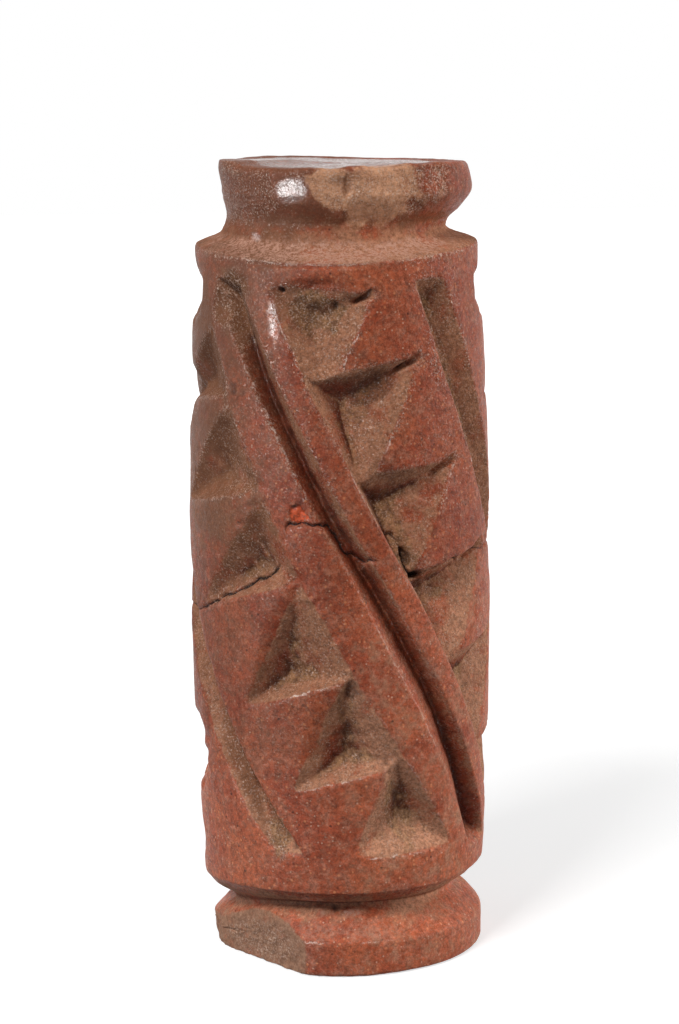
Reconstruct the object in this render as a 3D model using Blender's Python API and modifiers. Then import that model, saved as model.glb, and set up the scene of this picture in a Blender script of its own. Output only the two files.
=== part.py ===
"""Roller stamp of fired clay, one solid piece, standing on its foot.

A slightly bellied barrel stands on a round foot and ends in a low knob set a
little off its axis.  Two carved panels go round the barrel, one half a turn
from the other.  Each has a pair of slanting ridges with a groove between them
and, outside each ridge, a row of three-sided pockets that leaves pointed
teeth standing.  A wide slanting groove parts one panel from the next.

Lengths are in metres, angles in degrees.  Angles on the barrel are counted
from the side that faces -Y, to the right as seen from there.  Heights in the
carving are shares of half the carved field, counted from its middle, so the
whole pattern follows the barrel's length.
"""

import math
from dataclasses import dataclass

import bmesh
import bpy

MM = 0.001

# Foot and lower neck, from the underside up
FOOT_BASE_RADIUS = 13.1 * MM
FOOT_RADIUS = 13.85 * MM
FOOT_ARRIS = 0.9 * MM
FOOT_THICKNESS = 3.2 * MM
LOWER_NECK_RADIUS = 11.7 * MM
LOWER_NECK_SLOPE = 1.9 * MM
LOWER_NECK_GAP = 2.4 * MM

# Barrel
BARREL_LENGTH = 61.9 * MM
BARREL_RADIUS = 14.85 * MM
LOWER_RIM_RADIUS = 13.95 * MM
UPPER_RIM_RADIUS = 13.7 * MM
RIM_ROUNDING = 0.5 * MM
BELLY_SHARE = 0.49
BELLY_POWER = 2.3

# Upper neck and knob
LEDGE_RISE = 2.3 * MM
UPPER_NECK_RADIUS = 11.1 * MM
UPPER_NECK_GAP = 0.9 * MM
KNOB_FLARE = 2.0 * MM
KNOB_RADIUS = 12.15 * MM
KNOB_EDGE = 2.5 * MM
KNOB_ROUNDING = 0.9 * MM
KNOB_OFFSET = 0.85 * MM

# Plain collars above and below the carved field
LOWER_COLLAR = 3.9 * MM
UPPER_COLLAR = 3.0 * MM

# Depths of the carving
POCKET_DEPTH = 2.2 * MM
GROOVE_DEPTH = 1.9 * MM
SEPARATOR_DEPTH = 1.7 * MM
CHANNEL_DEPTH = 1.0 * MM
GROOVE_WALL = 0.8 * MM
CHANNEL_WIDTH = 1.5 * MM
CLEAR_OUTSIDE = 3.0 * MM

# Layout of the carving
PANEL_COUNT = 2
LINE_SHARE = 0.75
GROOVE_TOP_SHARE = 1.03
GROOVE_END_SHARE = -1.02
SEPARATOR_END_SHARE = -0.97
CHANNEL_END_SHARE = 0.97
RUN_END_SHARE = 0.055

# How finely curved things are divided
TURN_STEPS = 72
ANGLE_STEP = 10.0

CLAY_COLOUR = (0.30, 0.105, 0.062, 1.0)
CLAY_ROUGHNESS = 0.62


@dataclass(frozen=True)
class Line:
    """A slanting line on the barrel, by its angle high up, in the middle and low down."""

    high: float
    middle: float
    low: float

    def angle(self, share):
        """Return the line's angle at a height share, by a parabola through its three angles."""
        along = -share / LINE_SHARE
        slope = (self.low - self.high) / 2.0
        bend = (self.low + self.high) / 2.0 - self.middle
        return self.middle + slope * along + bend * along * along


@dataclass(frozen=True)
class Pocket:
    """A three-sided pocket: its far corner, and the heights of its two corners at the ridge."""

    far_angle: float
    far_share: float
    upper_share: float
    lower_share: float


@dataclass(frozen=True)
class Hollow:
    """A small spall, cut by a ball that reaches a given depth into a round outline."""

    angle: float
    height: float
    ball_radius: float
    outline_radius: float
    depth: float


@dataclass(frozen=True)
class FlatBreak:
    """A flat broken face below a height, leaning from upright, a given depth inside an outline."""

    angle: float
    top: float
    lean: float
    outline_radius: float
    depth: float


BAND_LEFT = Line(-119.9, -79.7, -31.5)
RIDGE_A_LEFT = Line(-51.4, -13.6, 33.1)
RIDGE_A_RIGHT = Line(-36.7, 5.5, 46.8)
RIDGE_B_LEFT = Line(-27.0, 15.5, 63.1)
RIDGE_B_RIGHT = Line(-15.6, 26.0, 73.1)
BAND_RIGHT = Line(42.6, 82.0, 133.9)

LEFT_POCKETS = (
    Pocket(-108.0, 0.953, 1.033, 0.898),
    Pocket(-99.0, 0.567, 0.880, 0.629),
    Pocket(-86.0, 0.211, 0.618, 0.313),
    Pocket(-68.0, -0.145, 0.305, 0.000),
    Pocket(-40.8, -0.462, 0.007, -0.353),
    Pocket(-21.0, -0.750, -0.320, -0.660),
    Pocket(2.5, -0.985, -0.607, -0.980),
)
RIGHT_POCKETS = (
    Pocket(14.7, 0.989, 1.015, 0.567),
    Pocket(33.5, 0.771, 0.702, 0.284),
    Pocket(50.0, 0.407, 0.327, -0.007),
    Pocket(69.0, 0.084, 0.007, -0.364),
    Pocket(86.0, -0.236, -0.331, -0.655),
    Pocket(106.0, -0.596, -0.633, -0.982),
    Pocket(131.0, -0.924, -0.931, -1.022),
)
# Weights of the far, upper and lower corner in the place of a pocket's deepest point
LEFT_DEEPEST = (0.38, 0.24, 0.38)
RIGHT_DEEPEST = (0.30, 0.45, 0.25)

# The widened head of the groove: angle and height share of each corner
GROOVE_HEAD = ((-57.0, 1.00), (-42.0, 1.03), (-34.0, 0.96), (-29.0, 0.80), (-37.0, 0.76), (-52.0, 0.79))
GROOVE_HEAD_DEPTH = 1.6 * MM
GROOVE_HEAD_FLOOR = 0.35

# Heights that follow from the sizes above
NECK_BASE = FOOT_THICKNESS + LOWER_NECK_SLOPE
BARREL_BASE = NECK_BASE + LOWER_NECK_GAP
BARREL_TOP = BARREL_BASE + BARREL_LENGTH
LEDGE_TOP = BARREL_TOP + LEDGE_RISE
KNOB_BASE = LEDGE_TOP + UPPER_NECK_GAP + KNOB_FLARE
KNOB_TOP = KNOB_BASE + KNOB_EDGE + KNOB_ROUNDING
FIELD_BOTTOM = BARREL_BASE + LOWER_COLLAR
FIELD_TOP = BARREL_TOP - UPPER_COLLAR
FIELD_MIDDLE = (FIELD_BOTTOM + FIELD_TOP) / 2.0
FIELD_HALF = (FIELD_TOP - FIELD_BOTTOM) / 2.0

HOLLOWS = (
    Hollow(4.0, KNOB_BASE - 0.5 * MM, 3.6 * MM, KNOB_RADIUS, 0.55 * MM),
    Hollow(19.0, KNOB_BASE - 0.2 * MM, 4.0 * MM, KNOB_RADIUS, 0.75 * MM),
    Hollow(36.0, KNOB_BASE - 0.6 * MM, 3.6 * MM, KNOB_RADIUS, 0.6 * MM),
)
FLAT_BREAKS = (
    FlatBreak(-41.0, NECK_BASE + 0.5 * MM, 3.0, FOOT_RADIUS, 1.15 * MM),
    FlatBreak(-72.0, FOOT_ARRIS + 0.6 * MM, 34.0, FOOT_RADIUS, 0.25 * MM),
)
# Blocks that cut the flat breaks, wider than the foot and taller than its lower half
BREAK_BLOCK_WIDTH = 2.0 * FOOT_RADIUS
BREAK_BLOCK_HEIGHT = 2.0 * NECK_BASE


def barrel_radius(height):
    """Return the barrel's radius at a height, largest at the belly and smaller at both rims."""
    belly = BARREL_BASE + BELLY_SHARE * BARREL_LENGTH
    if height > belly:
        reach, rim = BARREL_TOP - belly, UPPER_RIM_RADIUS
    else:
        reach, rim = belly - BARREL_BASE, LOWER_RIM_RADIUS
    share = min(abs(height - belly) / reach, 1.0)
    return BARREL_RADIUS - (BARREL_RADIUS - rim) * share**BELLY_POWER


def field_height(share):
    """Return the height of a share of the carved field's half, counted from its middle."""
    return FIELD_MIDDLE + share * FIELD_HALF


def on_barrel(angle, share, lift):
    """Return the point at an angle and height share, lifted off the barrel's surface."""
    height = field_height(share)
    radius = barrel_radius(height) + lift
    turn = math.radians(angle)
    return (radius * math.sin(turn), -radius * math.cos(turn), height)


def clay_material():
    """Return the red-brown material of the fired clay."""
    material = bpy.data.materials.new("fired_clay")
    material.use_nodes = True
    shader = material.node_tree.nodes["Principled BSDF"]
    shader.inputs["Base Color"].default_value = CLAY_COLOUR
    shader.inputs["Roughness"].default_value = CLAY_ROUGHNESS
    shader.inputs["Metallic"].default_value = 0.0
    return material


def add_object(name, mesh, collection):
    """Link a new object of the mesh into the collection and return it."""
    piece = bpy.data.objects.new(name, mesh)
    collection.objects.link(piece)
    return piece


def hide_as_cutter(piece):
    """Keep a cutting or joining body out of renders and draw it as wires."""
    piece.hide_render = True
    piece.display_type = "WIRE"


def turned(name, profile, collection):
    """Return a body turned about Z from a profile that runs down its outer side."""
    mesh = bpy.data.meshes.new(name)
    points = [(radius, 0.0, height) for radius, height in profile]
    mesh.from_pydata(points, [(i, i + 1) for i in range(len(points) - 1)], [])
    piece = add_object(name, mesh, collection)
    screw = piece.modifiers.new("Turn", "SCREW")
    screw.steps = TURN_STEPS
    screw.render_steps = TURN_STEPS
    screw.use_merge_vertices = True
    screw.merge_threshold = 0.00001
    screw.use_smooth_shade = True
    return piece


def body_profile():
    """Return the outline of foot, lower neck, barrel and ledge, from the top down."""
    outline = [(0.0, LEDGE_TOP), (UPPER_NECK_RADIUS, LEDGE_TOP)]
    outline.append((UPPER_RIM_RADIUS - RIM_ROUNDING, BARREL_TOP + 0.6 * RIM_ROUNDING))
    for share in (0.0, 0.06, 0.13, 0.2, 0.29, 0.4, 0.52, 0.64, 0.75, 0.85, 0.93, 1.0):
        height = BARREL_TOP - RIM_ROUNDING - share * (BARREL_LENGTH - 2.0 * RIM_ROUNDING)
        outline.append((barrel_radius(height), height))
    outline.append((LOWER_RIM_RADIUS - RIM_ROUNDING, BARREL_BASE))
    outline.append((LOWER_NECK_RADIUS + 0.3 * MM, NECK_BASE + 0.35 * LOWER_NECK_GAP))
    outline.append((LOWER_NECK_RADIUS, NECK_BASE))
    outline.append((FOOT_RADIUS - 0.35 * MM, FOOT_THICKNESS + 0.2 * MM))
    outline.append((FOOT_RADIUS, FOOT_THICKNESS - 0.5 * MM))
    outline.append((FOOT_RADIUS, FOOT_ARRIS))
    outline.append((FOOT_BASE_RADIUS + 0.45 * MM, 0.25 * FOOT_ARRIS))
    outline.append((FOOT_BASE_RADIUS, 0.0))
    outline.append((0.0, 0.0))
    return outline


def knob_profile():
    """Return the outline of the knob and its neck, from the top down into the barrel."""
    outline = [(0.0, KNOB_TOP)]
    for step in range(4):
        turn = math.radians(90.0 * (1.0 - step / 3.0))
        radius = KNOB_RADIUS - KNOB_ROUNDING * (1.0 - math.cos(turn))
        outline.append((radius, KNOB_TOP - KNOB_ROUNDING * (1.0 - math.sin(turn))))
    outline.append((KNOB_RADIUS, KNOB_BASE))
    outline.append((UPPER_NECK_RADIUS + 0.3 * KNOB_FLARE, KNOB_BASE - 0.55 * KNOB_FLARE))
    outline.append((UPPER_NECK_RADIUS, KNOB_BASE - KNOB_FLARE))
    outline.append((UPPER_NECK_RADIUS - 0.2 * MM, BARREL_TOP))
    outline.append((0.0, BARREL_TOP))
    return outline


def closed_from_rings(name, rings, first_pole, last_pole, collection):
    """Return a closed body through rings of equal count, with a point at either end."""
    bm = bmesh.new()
    rows = [[bm.verts.new(point) for point in ring] for ring in rings]
    count = len(rings[0])
    for upper, lower in zip(rows, rows[1:]):
        for i in range(count):
            j = (i + 1) % count
            bm.faces.new((upper[i], upper[j], lower[j], lower[i]))
    for row, pole in ((rows[0], first_pole), (rows[-1], last_pole)):
        tip = bm.verts.new(pole)
        for i in range(count):
            bm.faces.new((row[i], row[(i + 1) % count], tip))
    bmesh.ops.recalc_face_normals(bm, faces=bm.faces)
    mesh = bpy.data.meshes.new(name)
    bm.to_mesh(mesh)
    bm.free()
    piece = add_object(name, mesh, collection)
    hide_as_cutter(piece)
    return piece


def steps_between(start, end):
    """Return how many short straight steps a run between two angles takes."""
    return max(2, math.ceil(abs(end - start) / ANGLE_STEP))


def pocket_outline(pocket, ridge):
    """Return a pocket's outline on the barrel as (angle, share), far corner first."""
    outline = []
    upper = (ridge.angle(pocket.upper_share), pocket.upper_share)
    lower = (ridge.angle(pocket.lower_share), pocket.lower_share)
    far = (pocket.far_angle, pocket.far_share)
    for start, end in ((far, upper), (upper, lower), (lower, far)):
        steps = steps_between(start[0], end[0])
        for i in range(steps):
            t = i / steps
            share = start[1] + (end[1] - start[1]) * t
            if start is upper:
                outline.append((ridge.angle(share), share))
            else:
                outline.append((start[0] + (end[0] - start[0]) * t, share))
    return outline, (far, upper, lower)


def sink_rings(outline, deepest, depth, turn, levels):
    """Return rings of a body whose walls run from an outline down to its deepest point.

    Each level is how far the ring has gone from the outline (0) to the deepest
    point (1).  A level below 0 lies outside the surface, and the first ring is
    carried straight out from there.
    """
    rings = []
    for number, level in enumerate((levels[0],) + tuple(levels)):
        lift = CLEAR_OUTSIDE if number == 0 else -depth * level
        ring = []
        for angle, share in outline:
            at_angle = angle + (deepest[0] - angle) * level
            at_share = share + (deepest[1] - share) * level
            ring.append(on_barrel(at_angle + turn, at_share, lift))
        rings.append(ring)
    return rings


def cut_pockets(pockets, ridge, weights, turn, label, collection):
    """Make the cutters of one row of pockets along a ridge."""
    for number, pocket in enumerate(pockets, start=1):
        outline, corners = pocket_outline(pocket, ridge)
        angle = sum(weight * corner[0] for weight, corner in zip(weights, corners))
        share = sum(weight * corner[1] for weight, corner in zip(weights, corners))
        rings = sink_rings(outline, (angle, share), POCKET_DEPTH, turn, (-0.12, 0.45))
        outside = on_barrel(angle + turn, share, CLEAR_OUTSIDE)
        bottom = on_barrel(angle + turn, share, -POCKET_DEPTH)
        closed_from_rings(f"{label}_{number}", rings, outside, bottom, collection)


def cut_groove_head(turn, label, collection):
    """Make the cutter of the widened upper end of a groove."""
    corners = [(angle, share) for angle, share in GROOVE_HEAD]
    outline = []
    for start, end in zip(corners, corners[1:] + corners[:1]):
        steps = steps_between(start[0], end[0])
        for i in range(steps):
            t = i / steps
            outline.append((start[0] + (end[0] - start[0]) * t, start[1] + (end[1] - start[1]) * t))
    middle_angle = sum(angle for angle, _ in corners) / len(corners)
    middle_share = sum(share for _, share in corners) / len(corners)
    middle = (middle_angle, middle_share)
    depth = GROOVE_HEAD_DEPTH / GROOVE_HEAD_FLOOR
    rings = sink_rings(outline, middle, depth, turn, (-0.06, GROOVE_HEAD_FLOOR))
    outside = on_barrel(middle_angle + turn, middle_share, CLEAR_OUTSIDE)
    bottom = on_barrel(middle_angle + turn, middle_share, -GROOVE_HEAD_DEPTH)
    closed_from_rings(label, rings, outside, bottom, collection)


def cut_run(left, right, top, bottom, depth, wall, turn, label, collection):
    """Make the cutter of a groove between two slanting lines, narrowing to rounded ends."""
    steps = steps_between(left(top), left(bottom))
    stations = [top, top - 0.4 * RUN_END_SHARE]
    for i in range(steps + 1):
        stations.append(top - RUN_END_SHARE - (top - bottom - 2.0 * RUN_END_SHARE) * i / steps)
    stations += [bottom + 0.4 * RUN_END_SHARE, bottom]
    rings = []
    for share in stations:
        from_end = min(top - share, share - bottom) / RUN_END_SHARE
        fullness = math.sqrt(max(0.12, 1.0 - (1.0 - min(from_end, 1.0)) ** 2))
        middle = (left(share) + right(share)) / 2.0
        half = (right(share) - left(share)) / 2.0 * fullness
        slope = min(math.degrees(wall / BARREL_RADIUS), half * 0.8)
        over = slope * 0.1
        section = (
            (middle - half - over, CLEAR_OUTSIDE),
            (middle, CLEAR_OUTSIDE),
            (middle + half + over, CLEAR_OUTSIDE),
            (middle + half + over, 0.1 * depth),
            (middle + half - slope, -depth),
            (middle - half + slope, -depth),
            (middle - half - over, 0.1 * depth),
        )
        rings.append([on_barrel(angle + turn, share, lift) for angle, lift in section])
    first = on_barrel((left(top) + right(top)) / 2.0 + turn, top, 0.0)
    last = on_barrel((left(bottom) + right(bottom)) / 2.0 + turn, bottom, 0.0)
    closed_from_rings(label, rings, first, last, collection)


def cut_panel(number, collection):
    """Make all cutters of one panel, turned to its place round the barrel."""
    turn = 360.0 * number / PANEL_COUNT
    label = f"panel_{number + 1}"
    cut_pockets(LEFT_POCKETS, RIDGE_A_LEFT, LEFT_DEEPEST, turn, f"{label}_left_pocket", collection)
    cut_pockets(RIGHT_POCKETS, RIDGE_B_RIGHT, RIGHT_DEEPEST, turn, f"{label}_right_pocket", collection)
    cut_groove_head(turn, f"{label}_groove_head", collection)
    cut_run(
        RIDGE_A_RIGHT.angle, RIDGE_B_LEFT.angle, GROOVE_TOP_SHARE, GROOVE_END_SHARE,
        GROOVE_DEPTH, GROOVE_WALL, turn, f"{label}_groove", collection,
    )
    next_panel = 360.0 / PANEL_COUNT
    cut_run(
        BAND_RIGHT.angle, lambda share: BAND_LEFT.angle(share) + next_panel,
        GROOVE_TOP_SHARE, SEPARATOR_END_SHARE,
        SEPARATOR_DEPTH, 1.6 * GROOVE_WALL, turn, f"{label}_separator", collection,
    )
    width = math.degrees(CHANNEL_WIDTH / BARREL_RADIUS)
    cut_run(
        lambda share: RIDGE_A_LEFT.angle(share) - width, RIDGE_A_LEFT.angle,
        CHANNEL_END_SHARE, -CHANNEL_END_SHARE,
        CHANNEL_DEPTH, 0.45 * CHANNEL_WIDTH, turn, f"{label}_left_channel", collection,
    )
    cut_run(
        RIDGE_B_RIGHT.angle, lambda share: RIDGE_B_RIGHT.angle(share) + width,
        CHANNEL_END_SHARE, -CHANNEL_END_SHARE,
        CHANNEL_DEPTH, 0.45 * CHANNEL_WIDTH, turn, f"{label}_right_channel", collection,
    )


def cut_breaks(collection):
    """Make the cutters of the spalls on the knob and the flat breaks on the foot."""
    for number, hollow in enumerate(HOLLOWS, start=1):
        mesh = bpy.data.meshes.new(f"hollow_{number}")
        bm = bmesh.new()
        bmesh.ops.create_icosphere(bm, subdivisions=2, radius=hollow.ball_radius)
        bm.to_mesh(mesh)
        bm.free()
        piece = add_object(f"hollow_{number}", mesh, collection)
        turn = math.radians(hollow.angle)
        side = hollow.outline_radius - hollow.depth + hollow.ball_radius
        piece.location = (side * math.sin(turn), -side * math.cos(turn), hollow.height)
        piece.rotation_euler = (0.4 * number, 0.7 * number, turn)
        hide_as_cutter(piece)
    for number, flat in enumerate(FLAT_BREAKS, start=1):
        mesh = bpy.data.meshes.new(f"flat_break_{number}")
        bm = bmesh.new()
        bmesh.ops.create_cube(bm, size=1.0)
        size = (BREAK_BLOCK_WIDTH, BREAK_BLOCK_WIDTH, BREAK_BLOCK_HEIGHT)
        bmesh.ops.scale(bm, verts=bm.verts, vec=size)
        move = (0.0, -BREAK_BLOCK_WIDTH / 2.0, -BREAK_BLOCK_HEIGHT / 2.0)
        bmesh.ops.translate(bm, verts=bm.verts, vec=move)
        bm.to_mesh(mesh)
        bm.free()
        piece = add_object(f"flat_break_{number}", mesh, collection)
        turn = math.radians(flat.angle)
        side = flat.outline_radius - flat.depth
        piece.location = (side * math.sin(turn), -side * math.cos(turn), flat.top)
        piece.rotation_euler = (math.radians(-flat.lean), 0.0, turn)
        hide_as_cutter(piece)


def build():
    """Build the stamp."""
    for old in list(bpy.data.objects):
        bpy.data.objects.remove(old)
    parts = bpy.data.collections.new("roller_stamp")
    bpy.context.scene.collection.children.link(parts)
    helpers = bpy.data.collections.new("joined")
    bpy.context.scene.collection.children.link(helpers)
    carving = bpy.data.collections.new("cutters")
    bpy.context.scene.collection.children.link(carving)

    body = turned("roller_stamp", body_profile(), parts)
    body.data.materials.append(clay_material())

    knob = turned("knob", knob_profile(), helpers)
    knob.location.x = KNOB_OFFSET
    hide_as_cutter(knob)
    union = body.modifiers.new("Knob", "BOOLEAN")
    union.operation = "UNION"
    union.solver = "EXACT"
    union.object = knob

    for number in range(PANEL_COUNT):
        cut_panel(number, carving)
    cut_breaks(carving)
    cut = body.modifiers.new("Carving", "BOOLEAN")
    cut.operation = "DIFFERENCE"
    cut.solver = "EXACT"
    cut.operand_type = "COLLECTION"
    cut.collection = carving


build()
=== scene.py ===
"""Dressed model of a fired clay roller stamp, with its floor, light and camera.

The stamp is one lump of red-brown clay, so it is one piece here.  A sheet with
fine cells is wrapped round the stamp's outline, carved with the ridges, the
pockets and the grooves, worn and broken, and then thinned where little happens.
Sizes are in millimetres and angles in degrees.  Angles are counted from the side
that faces -Y, to the right as seen from there.
"""

import logging
import math
from dataclasses import dataclass, field
from enum import Enum

import bpy
import numpy as np
from mathutils import Matrix, Vector


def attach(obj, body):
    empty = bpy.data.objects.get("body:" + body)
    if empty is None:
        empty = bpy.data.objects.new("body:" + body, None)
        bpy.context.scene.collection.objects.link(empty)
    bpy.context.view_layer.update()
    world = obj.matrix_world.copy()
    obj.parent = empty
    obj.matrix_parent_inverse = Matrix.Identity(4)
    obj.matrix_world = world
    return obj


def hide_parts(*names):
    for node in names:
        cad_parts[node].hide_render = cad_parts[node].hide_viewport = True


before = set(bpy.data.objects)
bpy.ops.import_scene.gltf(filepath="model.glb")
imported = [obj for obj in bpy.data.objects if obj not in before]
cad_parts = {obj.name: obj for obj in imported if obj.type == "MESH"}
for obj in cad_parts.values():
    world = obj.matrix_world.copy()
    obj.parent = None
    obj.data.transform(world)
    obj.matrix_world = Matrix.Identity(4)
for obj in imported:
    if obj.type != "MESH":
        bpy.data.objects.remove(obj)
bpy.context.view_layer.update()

LOG = logging.getLogger("roller_stamp")
MM = 0.001
NODE = "roller_stamp"

# The stamp's height, and the radius of the cylinder on which unevenness is looked up.
STAMP_HEIGHT = 78.0
PLAIN_RADIUS = 14.85
# A slanting line's middle, half its height, and the share of that at which its angles are given.
LINE_MIDDLE = 38.9
LINE_REACH = 27.5
LINE_SHARE = 0.75
# The carving's depth where there is none, and how far each panel is turned.
UNCARVED = -3.0
PANEL_TURNS = (0.0, 180.0)
# The distance to edge and crack on the underside and the top, and the top's gloss inside its rim.
BEYOND = 30.0
TOP_RIM_ROWS = 3
TOP_GLOSS = 0.6

# In metres: points nearer than this are one point.
SAME_POINT = 0.000001

# Sockets of the node that mixes colours.
MIX_SHARE = 0
MIX_FIRST = 6
MIX_SECOND = 7
MIX_COLOUR = 2

Grid = np.ndarray
Socket = bpy.types.NodeSocket
Colour = tuple[float, float, float, float]
Place = tuple[float, float, float]
Ramp = tuple[float, float]
Curve = tuple[tuple[float, float], ...]


def smooth_step(low: float, high: float, value: Grid) -> Grid:
    """Return a soft ramp of the values, from 0 at low to 1 at high."""
    share = np.clip((value - low) / (high - low), 0.0, 1.0)
    return share * share * (3.0 - 2.0 * share)


def soft_max(first: Grid, second: Grid, blend: Grid) -> Grid:
    """Return the larger of two values, a little more where they differ by less than blend."""
    return 0.5 * (first + second + np.sqrt((first - second) ** 2 + blend * blend))


def soft_min(first: Grid, second: Grid, blend: Grid) -> Grid:
    """Return the smaller of two values, a little less where they differ by less than blend."""
    return -soft_max(-first, -second, blend)


def bell(value: Grid, middle: float, width: float) -> Grid:
    """Return a bell curve of the values, 1 at its middle and about a third one width away."""
    return np.exp(-(((value - middle) / width) ** 2))


def turn_between(angle: Grid, middle: float) -> Grid:
    """Return how far each angle lies from the middle one, the short way round."""
    return (angle - middle + 180.0) % 360.0 - 180.0


@dataclass(frozen=True)
class Unevenness:
    """Smooth unevenness in space, the same on every run.

    Attributes:
        seed: Tells one unevenness from another.
    """

    seed: int

    def at(self, points: Grid, wavelength: float) -> Grid:
        """Return one layer of unevenness.

        Args:
            points: Places in space, with the three coordinates last.
            wavelength: Distance from one swelling to the next.

        Returns:
            Values about 0, mostly between -0.6 and 0.6.
        """
        place = points / wavelength + 13.7 * self.seed
        corner = np.floor(place).astype(np.int64)
        inside = place - corner
        ease = inside**3 * (inside * (inside * 6.0 - 15.0) + 10.0)
        total = np.zeros(points.shape[:-1])
        for step in np.ndindex(2, 2, 2):
            code = self._scramble(corner + np.array(step))
            reach = inside - np.array(step)
            push = (
                ((code & 1023) / 511.5 - 1.0) * reach[..., 0]
                + ((code >> 10 & 1023) / 511.5 - 1.0) * reach[..., 1]
                + ((code >> 20 & 1023) / 511.5 - 1.0) * reach[..., 2]
            )
            for axis in range(3):
                push = push * (ease[..., axis] if step[axis] else 1.0 - ease[..., axis])
            total += push
        return total

    def layered(self, points: Grid, wavelength: float, layers: int, fade: float = 0.5) -> Grid:
        """Return several layers of unevenness, each twice as fine as the one before.

        Args:
            points: Places in space, with the three coordinates last.
            wavelength: The coarsest layer's wavelength.
            layers: How many layers there are.
            fade: How strong each layer is beside the one before.

        Returns:
            The sum of the layers.
        """
        total = np.zeros(points.shape[:-1])
        for layer in range(layers):
            total += fade**layer * Unevenness(self.seed + 7 * layer).at(points, wavelength / 2**layer)
        return total

    def _scramble(self, corner: Grid) -> Grid:
        """Return a scrambled whole number for each lattice corner.

        Args:
            corner: Whole lattice coordinates, with the three axes last.

        Returns:
            Numbers of 30 bits or more.
        """
        code = corner[..., 0] * 73856093 ^ corner[..., 1] * 19349663 ^ corner[..., 2] * 83492791
        code = (code + self.seed * 374761393) & 0xFFFFFFFF
        code = ((code ^ code >> 15) * 2246822519) & 0xFFFFFFFF
        code = ((code ^ code >> 13) * 3266489917) & 0xFFFFFFFF
        return code ^ code >> 16


@dataclass(frozen=True)
class Outline:
    """The stamp's outline before it was carved.

    Attributes:
        cell: Distance between two rows of the sheet on the stamp's side.
        cap_rows: How many rows cover the underside, and how many the top.
        rounding: How far the outline's corners are smoothed.
        fine_step: Distance between the points that are smoothed.
        barrel_radius: The barrel's radius where it is widest.
        lower_rim_radius: Its radius at the foot's end.
        upper_rim_radius: Its radius at the knob's end.
        barrel_base: Height of its lower end.
        barrel_top: Height of its upper end.
        barrel_gaps: How far from those ends its first and its last row lie.
        barrel_rows: How many rows give its swelling.
        belly: Height at which it is widest.
        belly_power: How flat the swelling is in its middle.
        foot: Radius and height of the foot's corners, from the underside up.
        knob: Radius and height of the collar's and the knob's corners.
    """

    cell: float = 0.15
    cap_rows: tuple[int, int] = (30, 44)
    rounding: float = 0.1
    fine_step: float = 0.05
    barrel_radius: float = 14.83
    lower_rim_radius: float = 13.95
    upper_rim_radius: float = 13.75
    barrel_base: float = 7.5
    barrel_top: float = 69.4
    barrel_gaps: tuple[float, float] = (0.9, 0.75)
    barrel_rows: int = 24
    belly: float = 37.8
    belly_power: float = 2.3
    foot: Curve = (
        (13.2, 0.0), (13.6, 0.05), (13.75, 0.35), (13.78, 1.2), (13.8, 2.4), (13.8, 3.3), (13.65, 3.6),
        (12.7, 4.7), (11.6, 5.6), (11.0, 6.0), (11.1, 6.25), (12.05, 6.8), (13.1, 7.5), (13.72, 8.2),
    )
    knob: Curve = (
        (13.78, 69.1), (13.62, 69.38), (12.7, 69.75), (11.75, 70.1), (11.15, 70.5), (10.9, 71.0),
        (10.8, 71.7), (10.85, 72.3), (11.25, 73.0), (11.9, 74.2), (12.15, 74.9), (12.15, 77.0),
        (12.05, 77.6), (11.75, 77.95), (11.3, 78.0), (10.5, 78.0),
    )

    def side(self) -> tuple[Grid, Grid]:
        """Lay the rows of the stamp's side, from the foot up.

        Returns:
            Radius and height of each row.
        """
        lower_gap, upper_gap = self.barrel_gaps
        heights = np.linspace(self.barrel_base + lower_gap, self.barrel_top - upper_gap, self.barrel_rows)
        barrel = [(float(self.barrel_at(height)), float(height)) for height in heights]
        corners = np.array(list(self.foot) + barrel + list(self.knob))
        fine = self._spread(corners, self.fine_step)
        reach = int(4.0 * self.rounding / self.fine_step)
        before = 2.0 * fine[0] - fine[reach:0:-1]
        after = 2.0 * fine[-1] - fine[-2 : -reach - 2 : -1]
        padded = np.concatenate([before, fine, after])
        kernel = np.exp(-0.5 * (np.arange(-reach, reach + 1) * self.fine_step / self.rounding) ** 2)
        kernel /= kernel.sum()
        smooth = np.stack([np.convolve(padded[:, axis], kernel, "valid") for axis in (0, 1)], axis=1)
        rows = self._spread(smooth, self.cell)
        return rows[:, 0], rows[:, 1]

    def barrel_at(self, height: Grid) -> Grid:
        """Return the uncarved barrel's radius at a height.

        Args:
            height: Height above the underside.

        Returns:
            The radius there.
        """
        above = height > self.belly
        reach = np.where(above, self.barrel_top - self.belly, self.belly - self.barrel_base)
        rim = np.where(above, self.upper_rim_radius, self.lower_rim_radius)
        share = np.clip(np.abs(height - self.belly) / reach, 0.0, 1.0)
        return self.barrel_radius - (self.barrel_radius - rim) * share**self.belly_power

    @staticmethod
    def _spread(corners: Grid, step: float) -> Grid:
        """Return points at an even distance along a line through corners.

        Args:
            corners: The line's corners.
            step: The distance between two points.

        Returns:
            The points, the first and the last corner among them.
        """
        lengths = np.concatenate([[0.0], np.cumsum(np.linalg.norm(np.diff(corners, axis=0), axis=1))])
        places = np.linspace(0.0, lengths[-1], max(2, round(lengths[-1] / step) + 1))
        return np.stack([np.interp(places, lengths, corners[:, axis]) for axis in (0, 1)], axis=1)


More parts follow.
